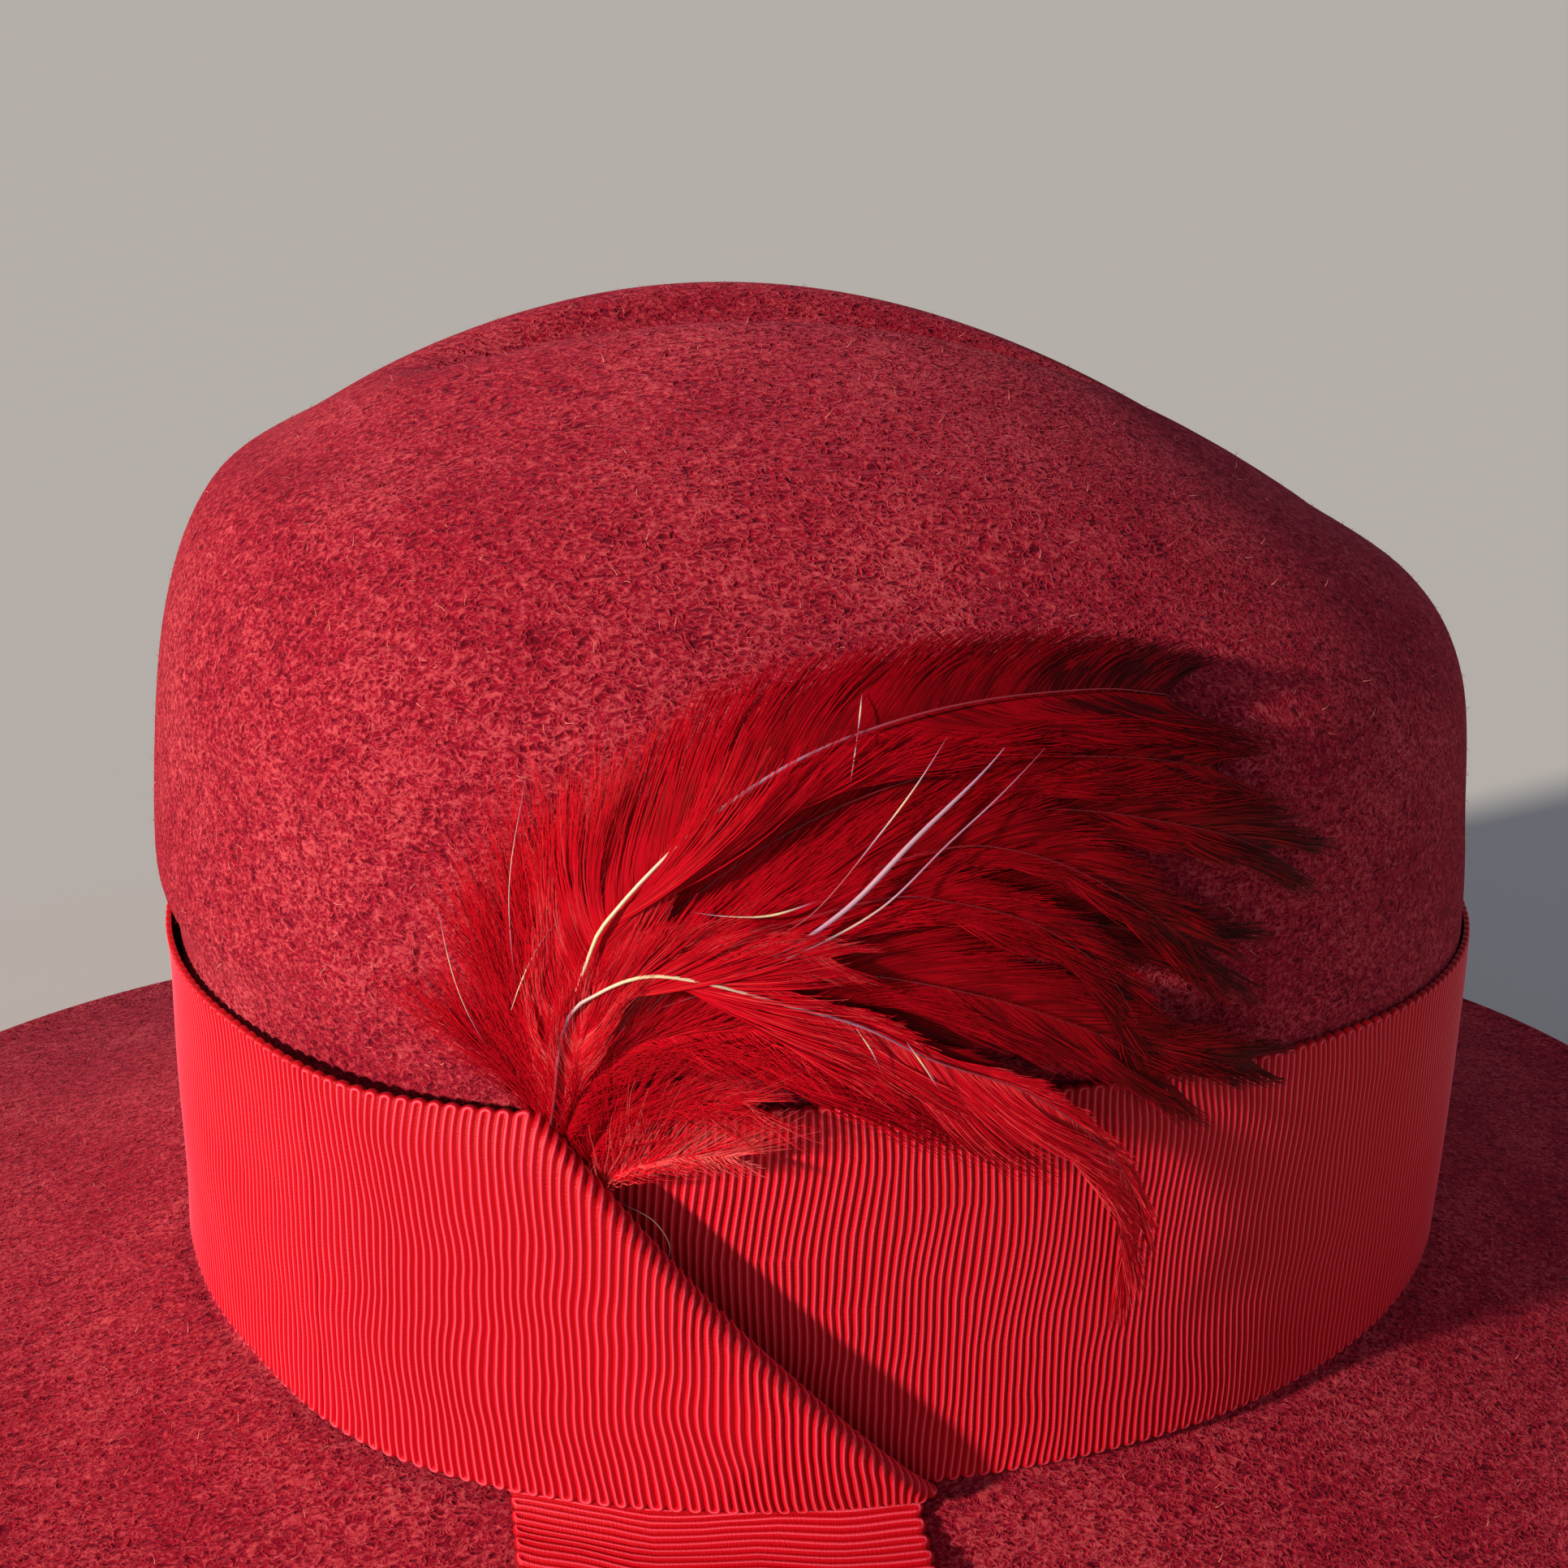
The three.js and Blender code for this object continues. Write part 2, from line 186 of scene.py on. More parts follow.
# %% [markdown]
# The felt is one shell: an upper sheet from the dent out to the brim's edge, a lower sheet one thickness
# below it, and a rounded cut edge between them. Rings of points joined by faces make both sheets. Real felt
# is never as even as its block, so soft waves of a few tenths of a millimetre are added where nothing else
# touches it. They break up the highlights.

# %% Felt body
FELT_SEGMENTS = 240
CROWN_STEP = 1 / 9
BRIM_RINGS = 30
EDGE_STEPS = 4
WAVE = 0.35


def mesh_object(name, points, faces):
    mesh = bpy.data.meshes.new(name)
    mesh.from_pydata(np.asarray(points).tolist(), [], faces)
    mesh.shade_smooth()
    item = bpy.data.objects.new(name, mesh)
    bpy.context.scene.collection.objects.link(item)
    return item


def ring_faces(first, second, count):
    """Quads between two rings of points that start at these numbers."""
    return [(first + i, second + i, second + (i + 1) % count, first + (i + 1) % count) for i in range(count)]


def ring_normals(rings):
    """Ways off a stack of rings of points, from the rings beside each one."""
    round_it = np.roll(rings, -1, 1) - np.roll(rings, 1, 1)
    down = np.gradient(rings, axis=0)
    out = np.cross(down, round_it)
    return out / np.linalg.norm(out, axis=-1, keepdims=True)


def felt_waves(points, strength):
    """Soft unevenness: three slow waves that never line up."""
    x, y, z = (points / MM).transpose(2, 0, 1)
    wave = np.sin(x / 17 + np.sin(y / 23) * 2) + np.sin(y / 13 + x / 41 + 1) + np.sin(z / 11 + x / 29 + y / 37)
    return strength * wave / 3 * MM


def felt_body():
    turns = np.arange(FELT_SEGMENTS) * 360 / FELT_SEGMENTS
    levels = np.arange(TOP_LEVEL, -1e-9, -CROWN_STEP)
    rings = [ring_point(crown_ring(level), turns) for level in levels]
    rings += [ring_point(corner_ring(turn), turns) for turn in (0.3, 0.6, 0.85)]
    rings += [ring_point(brim_ring(k / BRIM_RINGS), turns) for k in range(BRIM_RINGS + 1)]
    top = np.array(rings)
    out = ring_normals(top)
    strength = np.zeros(len(top))
    strength[: len(levels)] = WAVE * np.clip((levels - RIBBON_TOP_LEVEL - 0.3) / 1.5, 0, 1)
    top += out * felt_waves(top, strength[:, None])[..., None]
    under = top - out * FELT_THICKNESS * MM
    under[..., 2] = np.maximum(under[..., 2], 0)
    top[..., 2] = np.maximum(top[..., 2], FELT_THICKNESS * MM)
    middle, half = (top[-1] + under[-1]) / 2, (top[-1] - under[-1]) / 2
    reach = np.cross(np.roll(top[-1], -1, 0) - np.roll(top[-1], 1, 0), half)
    reach *= np.linalg.norm(half, axis=-1, keepdims=True) / np.linalg.norm(reach, axis=-1, keepdims=True)
    edge = [middle + half * np.cos(a) + reach * 0.7 * np.sin(a) for a in np.linspace(0, np.pi, EDGE_STEPS + 2)[1:-1]]
    stack = [*top, *edge, *under[::-1]]
    n = FELT_SEGMENTS
    pole = np.array([CENTRE * MM, 0, (RIBBON_FOOT + DENT_FLOOR) * MM])
    points = np.vstack([pole, *stack, pole - [0, 0, FELT_THICKNESS * MM]])
    faces = [(0, 1 + i, 1 + (i + 1) % n) for i in range(n)]
    for k in range(len(stack) - 1):
        faces += ring_faces(1 + k * n, 1 + (k + 1) * n, n)
    last, start = len(points) - 1, 1 + (len(stack) - 1) * n
    faces += [(last, start + (i + 1) % n, start + i) for i in range(n)]
    item = mesh_object("felt_hat", points, faces)
    shown = np.zeros(len(stack))
    shown[: len(top)] = 1
    shown[: len(levels)] = levels > RIBBON_TOP_LEVEL + 0.1
    shown[len(levels) : len(levels) + 4] = 0
    nap = item.data.attributes.new("nap", "FLOAT", "POINT")
    nap.data.foreach_set("value", np.concatenate([[1], np.repeat(shown, n), [0]]).astype(np.float32))
    return item


felt = felt_body()
print("felt:", len(felt.data.polygons), "faces")

# %% [markdown]
# Blender's Geometry Nodes make everything that repeats on this hat: the ribbon's ribs, the feathers' barbs and
# the felt's loose fibres. One small function adds a node, its settings and its links. A second one runs a
# finished tree on an object and keeps the result as a plain mesh.

# %% Helpers for node trees
def add(tree, kind, values=(), named=None, **settings):
    """Adds a node. values feed its inputs in order, named feeds them by name; None leaves an input alone."""
    node = tree.nodes.new(kind)
    for name, value in settings.items():
        setattr(node, name, value)
    feeds = list(zip([s for s in node.inputs if s.enabled], values))
    feeds += [(node.inputs[name], value) for name, value in (named or {}).items()]
    for socket, value in feeds:
        if isinstance(value, bpy.types.Node):
            value = next(s for s in value.outputs if s.enabled)
        if isinstance(value, bpy.types.NodeSocket):
            tree.links.new(value, socket)
        elif value is not None:
            socket.default_value = value
    return node


def new_tree(name, sizes):
    """A geometry tree with named inputs; sizes maps each name to its socket's kind."""
    tree = bpy.data.node_groups.new(name, "GeometryNodeTree")
    tree.interface.new_socket("Geometry", in_out="INPUT", socket_type="NodeSocketGeometry")
    for label, kind in sizes.items():
        tree.interface.new_socket(label, in_out="INPUT", socket_type="NodeSocket" + kind)
    tree.interface.new_socket("Geometry", in_out="OUTPUT", socket_type="NodeSocketGeometry")
    return tree, add(tree, "NodeGroupInput")


def run_tree(item, tree, values):
    """Runs a tree on an object with these values and keeps what it makes as the object's own mesh."""
    modifier = item.modifiers.new("nodes", "NODES")
    modifier.node_group = tree
    names = {s.name: s.identifier for s in tree.interface.items_tree if s.in_out == "INPUT"}
    for label, value in values.items():
        modifier[names[label]] = value
    bpy.context.view_layer.update()
    made = item.evaluated_get(bpy.context.evaluated_depsgraph_get())
    mesh = bpy.data.meshes.new_from_object(made)
    mesh.name = item.name
    item.modifiers.clear()
    item.data = mesh
    return item


def hidden_object(name, points, faces=(), edges=(), attributes=None, uv=None):
    """A mesh hidden from the render that feeds node trees; guides are removed at the end, and the others show once a
    tree has given them their shape.
    """
    mesh = bpy.data.meshes.new(name)
    mesh.from_pydata(np.asarray(points).tolist(), list(edges), list(faces))
    for label, value in (attributes or {}).items():
        value = np.asarray(value, np.float32)
        kind = "FLOAT_VECTOR" if value.ndim == 2 else "FLOAT"
        slot = mesh.attributes.new(label, kind, "POINT")
        slot.data.foreach_set("vector" if value.ndim == 2 else "value", value.ravel())
    if uv is not None:
        layer = mesh.uv_layers.new(name="flat")
        corners = np.zeros(len(mesh.loops), np.int32)
        mesh.loops.foreach_get("vertex_index", corners)
        layer.data.foreach_set("uv", np.asarray(uv, np.float32)[corners].ravel())
    item = bpy.data.objects.new(name, mesh)
    bpy.context.scene.collection.objects.link(item)
    item.hide_render = True
    return item


def grid_guide(name, points, out, flat, keep=None):
    """A guide surface: a grid of points, the way off it at each, and the flat place that each came from."""
    rows, columns = points.shape[:2]
    number = np.arange(rows * columns).reshape(rows, columns)
    quads = np.stack([number[:-1, :-1], number[:-1, 1:], number[1:, 1:], number[1:, :-1]], -1).reshape(-1, 4)
    facts = {"out": out.reshape(-1, 3)}
    facts["keep"] = np.ones(rows * columns) if keep is None else keep.ravel()
    return hidden_object(name, points.reshape(-1, 3), quads.tolist(), attributes=facts, uv=flat.reshape(-1, 2))


def wrap_nodes(tree, geometry, guide, across, along, rise):
    """Nodes that lay flat geometry onto a guide: across and along are the flat place, rise the stand-off."""
    surface = add(tree, "GeometryNodeObjectInfo", [guide]).outputs["Geometry"]
    place = add(tree, "ShaderNodeCombineXYZ", [across, along])
    flat = add(tree, "GeometryNodeInputNamedAttribute", ["flat"], data_type="FLOAT_VECTOR")
    out = add(tree, "GeometryNodeInputNamedAttribute", ["out"], data_type="FLOAT_VECTOR")
    here = add(tree, "GeometryNodeInputPosition")
    found = add(tree, "GeometryNodeSampleUVSurface", [surface, here, flat, place], data_type="FLOAT_VECTOR")
    way = add(tree, "GeometryNodeSampleUVSurface", [surface, out, flat, place], data_type="FLOAT_VECTOR")
    lift = add(tree, "ShaderNodeVectorMath", named={"Scale": rise, 0: way}, operation="SCALE")
    target = add(tree, "ShaderNodeVectorMath", [found, lift], operation="ADD")
    return add(tree, "GeometryNodeSetPosition", [geometry, None, target])


print("helpers ready")

# %% [markdown]
# Grosgrain is woven over thick hidden weft cords, which stand up as ribs across its width. At each edge the
# weft turns back, so the ribs end in small loops that join them two by two, and the edge is scalloped. The
# ribbon is made as it is woven: flat, with its ribs, and then laid onto a guide surface round the crown. A
# bump map could draw the ribs, but their loops and their wandering lines would be lost at the edges.

# %% The ribbon's way round the crown
GAP = 0.4
RIBBON_THICKNESS = 1.0
RIBBON_PITCH = RIBBON_THICKNESS + GAP
FOLD_ROOM = 0.4
UNDER_END = 234
FOLD_TOP = 240
FOLD_FOOT = 268.5
LIFT_START = 206
LIFT_END = 230
RIBBON_BASE = 0.5
RIB_HEIGHT = 0.38
RIB_PITCH = 1.05
MARGIN = 2.0
FOLD_RADIUS = 0.95
FOLD_BULGE = 4.0
TUCK = 3.0


def smoothstep(x, low, high):
    t = np.clip((x - low) / (high - low), 0, 1)
    return t * t * (3 - 2 * t)


def lengths_of(points):
    """The distance along a row of points, in millimetres."""
    return np.concatenate([[0], np.cumsum(np.linalg.norm(np.diff(points, axis=0), axis=-1))]) / MM


BAND_ANGLES = np.linspace(UNDER_END - 4, FOLD_FOOT + 372, 3000)
BAND_LENGTHS = lengths_of(ring_point(crown_ring(1.0), BAND_ANGLES))
BAND_LENGTHS -= np.interp(UNDER_END, BAND_ANGLES, BAND_LENGTHS)
FOLD_TOP_AT = np.interp(FOLD_TOP + 360, BAND_ANGLES, BAND_LENGTHS)
FOLD_FOOT_AT = np.interp(FOLD_FOOT + 360, BAND_ANGLES, BAND_LENGTHS)
FOLD_LINE = np.array([FOLD_TOP_AT - FOLD_FOOT_AT, RIBBON_WIDTH])
FOLD_LINE = FOLD_LINE / np.linalg.norm(FOLD_LINE)
FOLD_WAY = np.array([FOLD_LINE[1], -FOLD_LINE[0]])


def on_wall(along, height, stand):
    """A place on the wall: along the ribbon and up it, in millimetres, and off the felt."""
    degrees = np.interp(along, BAND_LENGTHS, BAND_ANGLES)
    level = height / RIBBON_WIDTH * RIBBON_TOP_LEVEL
    out = wall_out(level, degrees)
    return ring_point(crown_ring(level), degrees) + out * stand[..., None] * MM, out


def band_stand(along, height):
    """How far the ribbon stands off the felt: flat at first, then over its own start and the tail."""
    degrees = np.interp(along, BAND_LENGTHS, BAND_ANGLES) - 360
    over = (2 * RIBBON_PITCH + FOLD_ROOM) * smoothstep(degrees, LIFT_START, LIFT_END)
    up = np.clip(height / RIBBON_WIDTH, 0, 1)
    free_edge = 0.8 * smoothstep(degrees, 165, 190) * (1 - smoothstep(degrees, 225, 240)) * up**5
    buckle = 0.5 * np.sin(along / 19 + height / 16) * np.sin(along / 31 + 1) * np.sin(np.pi * up)
    buckle = buckle * (1 - smoothstep(degrees, 190, 230))
    fold_here = FOLD_TOP_AT + (FOLD_FOOT_AT - FOLD_TOP_AT) * (1 - up)
    bulge = FOLD_BULGE * smoothstep(along - fold_here, -38, -3) * (1 - (2 * up - 1) ** 4)
    return GAP + over + free_edge + bulge + np.maximum(buckle, -0.1)


def band_guide():
    """The ribbon's path: round the crown, then a half turn at the slanting fold and a short way back."""
    along = np.concatenate([
        np.arange(-MARGIN, FOLD_TOP_AT - 12, 2.0),
        np.arange(FOLD_TOP_AT - 12, FOLD_FOOT_AT + 10, 0.4),
    ])
    height = np.linspace(-MARGIN, RIBBON_WIDTH + MARGIN, 110)
    flat = np.stack(np.meshgrid(along, height), -1)
    past = (flat - [FOLD_FOOT_AT, 0]) @ FOLD_WAY
    curl = np.clip(past / FOLD_RADIUS, 0, np.pi)
    back = np.maximum(past - np.pi * FOLD_RADIUS, 0)
    shift = np.where(past > 0, FOLD_RADIUS * np.sin(curl) - back - past, 0)
    place = flat + shift[..., None] * FOLD_WAY
    drop = FOLD_RADIUS * (1 - np.cos(curl))
    stand = band_stand(place[..., 0], place[..., 1]) - drop
    points, out = on_wall(place[..., 0], place[..., 1], stand)
    turned = np.gradient(points, axis=1)
    out = np.cross(turned, np.gradient(points, axis=0))
    out /= np.linalg.norm(out, axis=-1, keepdims=True)
    keep = (past < np.pi * FOLD_RADIUS + TUCK).astype(float)
    return grid_guide("band_guide", points, out, flat * MM, keep)


guide_of_band = band_guide()
print("ribbon to the fold's foot:", round(float(FOLD_FOOT_AT), 1), "mm, slant", round(math.degrees(math.atan2(
    RIBBON_WIDTH, FOLD_FOOT_AT - FOLD_TOP_AT)), 1), "degrees")

# %% The tail's way over the brim
TAIL_LENGTH = 32
TAIL_CORNER = 3
TAIL_SPLAY = 2
UNDER_LAYER_SHIFT = 2.4
TAIL_WAY = (
    (3.4, GAP + 0.5),
    (7, GAP + 0.5),
    (11, GAP + RIBBON_PITCH + 0.3),
    (18, GAP + RIBBON_PITCH + 0.3),
    (25, GAP + RIBBON_PITCH + 0.3),
    (TAIL_LENGTH - 1.3, GAP + RIBBON_PITCH + 0.3),
    (TAIL_LENGTH - 0.4, GAP + RIBBON_PITCH - 0.2),
    (TAIL_LENGTH - 0.4, GAP + 0.7),
    (TAIL_LENGTH - 1.3, GAP + 0.2),
    (25, GAP + 0.2),
    (18, GAP + 0.2),
    (11.5, GAP + 0.2),
)
TURNS_AT = 6


def brim_height(x, y):
    """The height of the brim's upper face at places in millimetres from the crown's centre."""
    low, high = np.zeros_like(x), np.ones_like(x)
    for _ in range(30):
        share = (low + high) / 2
        ring = brim_ring(share)
        along = x / np.where(x < 0, ring["front"], ring["back"])
        across = y / (ring["side"] * (1 - EGG * along))
        beyond = np.abs(along) ** ring["square"] + np.abs(across) ** ring["square"] > 1
        low, high = np.where(beyond, share, low), np.where(beyond, high, share)
    ring = brim_ring(low)
    along = x / np.where(x < 0, ring["front"], ring["back"])
    height = RIBBON_FOOT + ring["height"] + ring["pitch"] * along + ring["arch"] * along**2
    return np.maximum(height, FELT_THICKNESS)


def tail_guide():
    """Down the wall behind the fold, out over the brim, and back under itself."""
    share = np.linspace(-0.03, 1.03, 60)
    degrees = FOLD_FOOT + (FOLD_TOP - TAIL_SPLAY - FOLD_FOOT) * (1 - share)
    foot = (ring_point(crown_ring(0), degrees) / MM - [CENTRE, 0, 0]).T
    top = np.maximum(RIBBON_WIDTH * (1 - share), TAIL_CORNER) - RIBBON_PITCH
    stations = []
    for part in (0, 0.35, 0.7, 1):
        height = top + (0.6 - top) * part
        level = level_at(height)
        stand = (GAP + RIBBON_PITCH + 0.2) * MM
        stations.append(ring_point(crown_ring(level), degrees) + wall_out(level, degrees) * stand)
    for k, (out, rise) in enumerate(TAIL_WAY):
        shift = UNDER_LAYER_SHIFT * smoothstep(float(k), TURNS_AT - 1, TURNS_AT + 1)
        x, y = foot[0] + shift, foot[1] - out
        stations.append(np.stack([x + CENTRE, y, brim_height(x, y) + rise], -1) * MM)
    stations = np.array(stations)
    return share, top, stations


def resample(stations, step):
    """Smooth rows at an even step along a set of stations; returns them and their distances."""
    way = lengths_of(stations[:, stations.shape[1] // 2])
    fine = np.arange(0, way[-1], step)
    i = np.clip(np.searchsorted(way, fine, side="right") - 1, 0, len(way) - 2)
    f = ((fine - way[i]) / (way[i + 1] - way[i]))[:, None, None]
    slope = np.gradient(stations, way, axis=0)
    span = (way[i + 1] - way[i])[:, None, None]
    a, b = stations[i], stations[i + 1]
    ease = f * f * (3 - 2 * f)
    pull = (f**3 - 2 * f**2 + f) * span * slope[i] + (f**3 - f**2) * span * slope[i + 1]
    return a + (b - a) * ease + pull, fine, way


def make_tail_guide():
    share, top, stations = tail_guide()
    points, fine, way = resample(stations, 0.3)
    flat = np.stack(np.meshgrid(fine, share * RIBBON_WIDTH, indexing="ij"), -1)
    out = np.cross(np.gradient(points, axis=0), np.gradient(points, axis=1))
    out /= np.linalg.norm(out, axis=-1, keepdims=True)
    return grid_guide("tail_guide", points, out, flat * MM), way[-1], way[3]


guide_of_tail, TAIL_RUN, TAIL_AT_FOOT = make_tail_guide()
print("tail:", round(float(TAIL_RUN), 1), "mm of ribbon, of which", round(float(TAIL_AT_FOOT), 1), "on the wall")

# %% The weave's tree
SAMPLES_PER_RIB = 4


def grosgrain_tree():
    """Ribs on a flat strip, joined in loops at both edges, then laid onto a guide."""
    tree, given = new_tree("grosgrain", {
        "Guide": "Object", "Start": "Float", "End": "Float", "Columns": "Int", "Rows": "Int",
        "Width": "Float", "Rib Pitch": "Float", "Rib Height": "Float", "Base": "Float",
        "Wander": "Float", "Pull": "Float", "Pull From": "Float", "Pull To": "Float", "Material": "Material",
    })
    size = given.outputs
    grid = add(tree, "GeometryNodeMeshGrid", [1.0, 1.0, size["Columns"], size["Rows"]])
    spot = add(tree, "ShaderNodeSeparateXYZ", [add(tree, "GeometryNodeInputPosition")])
    along = add(tree, "ShaderNodeMapRange", [spot.outputs[0], -0.5, 0.5, size["Start"], size["End"]])
    # Rows crowd towards both edges, where the loops are: 1 at an edge, 0 in the middle, squared.
    side = add(tree, "ShaderNodeMath", [spot.outputs[1], 0.0], operation="GREATER_THAN")
    away = add(tree, "ShaderNodeMath", [add(tree, "ShaderNodeMath", [spot.outputs[1]], operation="ABSOLUTE"), 2.0],
               operation="MULTIPLY")
    inward = add(tree, "ShaderNodeMath", [1.0, away], operation="SUBTRACT")
    squared = add(tree, "ShaderNodeMath", [inward, 2.0], operation="POWER")
    half = add(tree, "ShaderNodeMath", [size["Width"], 0.5], operation="MULTIPLY")
    margin = add(tree, "ShaderNodeMath", [squared, half], operation="MULTIPLY")
    # a is the distance from the middle of a pair of ribs, in pitches; the pairs differ at the two edges.
    ribs = add(tree, "ShaderNodeMath", [along, size["Rib Pitch"]], operation="DIVIDE")
    a = add(tree, "ShaderNodeMath", [add(tree, "ShaderNodeMath", [ribs, side], operation="ADD"), 1.0],
            operation="PINGPONG")
    a_squared = add(tree, "ShaderNodeMath", [a, a], operation="MULTIPLY")
    # The scalloped outline: a round of 0.9 pitch, fading out two and a half pitches from the edge.
    bow = add(tree, "ShaderNodeMath", [a_squared, -0.81, 1.0], operation="MULTIPLY_ADD")
    bow = add(tree, "ShaderNodeMath", [add(tree, "ShaderNodeMath", [bow, 0.5], operation="POWER"), -1.0, 1.0],
              operation="MULTIPLY_ADD")
    in_pitches = add(tree, "ShaderNodeMath", [margin, size["Rib Pitch"]], operation="DIVIDE")
    fade = add(tree, "ShaderNodeMapRange", [in_pitches, 0.0, 2.5, 1.0, 0.0])
    dip = add(tree, "ShaderNodeMath", [bow, fade], operation="MULTIPLY")
    depth = add(tree, "ShaderNodeMath", [in_pitches, dip], operation="ADD")
    # The distance from the cord's middle line: straight along the rib, round in the loop.
    e = add(tree, "ShaderNodeMath", [add(tree, "ShaderNodeMath", [1.0, depth], operation="SUBTRACT"), 0.0],
            operation="MAXIMUM")
    reach = add(tree, "ShaderNodeMath", [add(tree, "ShaderNodeMath", [e, e, a_squared], operation="MULTIPLY_ADD"),
                                         0.5], operation="POWER")
    off = add(tree, "ShaderNodeMath", [add(tree, "ShaderNodeMath", [reach, 0.5], operation="SUBTRACT")],
              operation="ABSOLUTE")
    off = add(tree, "ShaderNodeMath", [add(tree, "ShaderNodeMath", [off, 0.5], operation="MINIMUM"), math.pi],
              operation="MULTIPLY")
    crest = add(tree, "ShaderNodeMath", [off], operation="COSINE")
    relief = add(tree, "ShaderNodeMath", [crest, size["Rib Height"], size["Base"]], operation="MULTIPLY_ADD")
    rim = add(tree, "ShaderNodeMapRange", [margin, 0.0, 0.00005, 0.0, 1.0])
    relief = add(tree, "ShaderNodeMath", [relief, rim], operation="MULTIPLY")
    inset = add(tree, "ShaderNodeMath", [depth, size["Rib Pitch"]], operation="MULTIPLY")
    other = add(tree, "ShaderNodeMath", [size["Width"], inset], operation="SUBTRACT")
    up = add(tree, "ShaderNodeMix", [side, inset, other], data_type="FLOAT")
    # The ribs wander a little, and lean over where the fold pulls the ribbon.
    flat = add(tree, "ShaderNodeCombineXYZ", [along, up])
    noise = add(tree, "ShaderNodeTexNoise", [flat, 34.0, 2.5, 0.45], noise_dimensions="2D")
    drift = add(tree, "ShaderNodeMath", [noise.outputs[0], 0.5], operation="SUBTRACT")
    drift = add(tree, "ShaderNodeMath", [drift, size["Wander"]], operation="MULTIPLY")
    low = add(tree, "ShaderNodeMath", [up, size["Width"]], operation="DIVIDE")
    low = add(tree, "ShaderNodeMath", [add(tree, "ShaderNodeMath", [1.0, low], operation="SUBTRACT"), 2.0],
              operation="POWER")
    near = add(tree, "ShaderNodeMapRange", [along, size["Pull From"], size["Pull To"], 0.0, size["Pull"]],
               interpolation_type="SMOOTHSTEP")
    lean = add(tree, "ShaderNodeMath", [low, near, drift], operation="MULTIPLY_ADD")
    laid = add(tree, "ShaderNodeMath", [along, lean], operation="ADD")
    surface = add(tree, "GeometryNodeObjectInfo", [size["Guide"]]).outputs["Geometry"]
    place = add(tree, "ShaderNodeCombineXYZ", [laid, up])
    uv = add(tree, "GeometryNodeInputNamedAttribute", ["flat"], data_type="FLOAT_VECTOR")
    kept = add(tree, "GeometryNodeInputNamedAttribute", ["keep"], data_type="FLOAT")
    kept = add(tree, "GeometryNodeSampleUVSurface", [surface, kept, uv, place], data_type="FLOAT")
    cut = add(tree, "ShaderNodeMath", [kept.outputs[0], 0.5], operation="LESS_THAN")
    woven = add(tree, "GeometryNodeStoreNamedAttribute", [grid.outputs[0], None, "weave", flat],
                data_type="FLOAT2", domain="CORNER")
    # The crest is also kept for the material, which paints highlight and shade from it.
    woven = add(tree, "GeometryNodeStoreNamedAttribute", [woven, None, "crest", crest],
                data_type="FLOAT", domain="POINT")
    trimmed = add(tree, "GeometryNodeDeleteGeometry", [woven, cut], domain="POINT")
    wrapped = wrap_nodes(tree, trimmed, size["Guide"], laid, up, relief)
    smooth = add(tree, "GeometryNodeSetShadeSmooth", [wrapped])
    painted = add(tree, "GeometryNodeSetMaterial", [smooth, None, size["Material"]])
    add(tree, "NodeGroupOutput", [painted])
    return tree


grosgrain = grosgrain_tree()
print("weave tree:", len(grosgrain.nodes), "nodes")

# %% [markdown]
# Each material starts from what the real thing is. Colours are given as sRGB hex values, the way a paint
# program shows them, and one function turns them to the linear values that the renderer works in.

# %% Material helpers
def hex_colour(code):
    """A linear colour from an sRGB hex value."""
    parts = [int(code[k : k + 2], 16) / 255 for k in (1, 3, 5)]
    return [x / 12.92 if x <= 0.04045 else ((x + 0.055) / 1.055) ** 2.4 for x in parts] + [1.0]


def new_material(name, roughness, **finish):
    """A material with its Principled shader; finish sets that shader's own sockets."""
    material = bpy.data.materials.new(name)
    material.use_nodes = True
    tree = material.node_tree
    shader = tree.nodes["Principled BSDF"]
    shader.inputs["Roughness"].default_value = roughness
    for label, value in finish.items():
        shader.inputs[label.replace("_", " ").title().replace("Ior", "IOR")].default_value = value
    return material, tree, shader


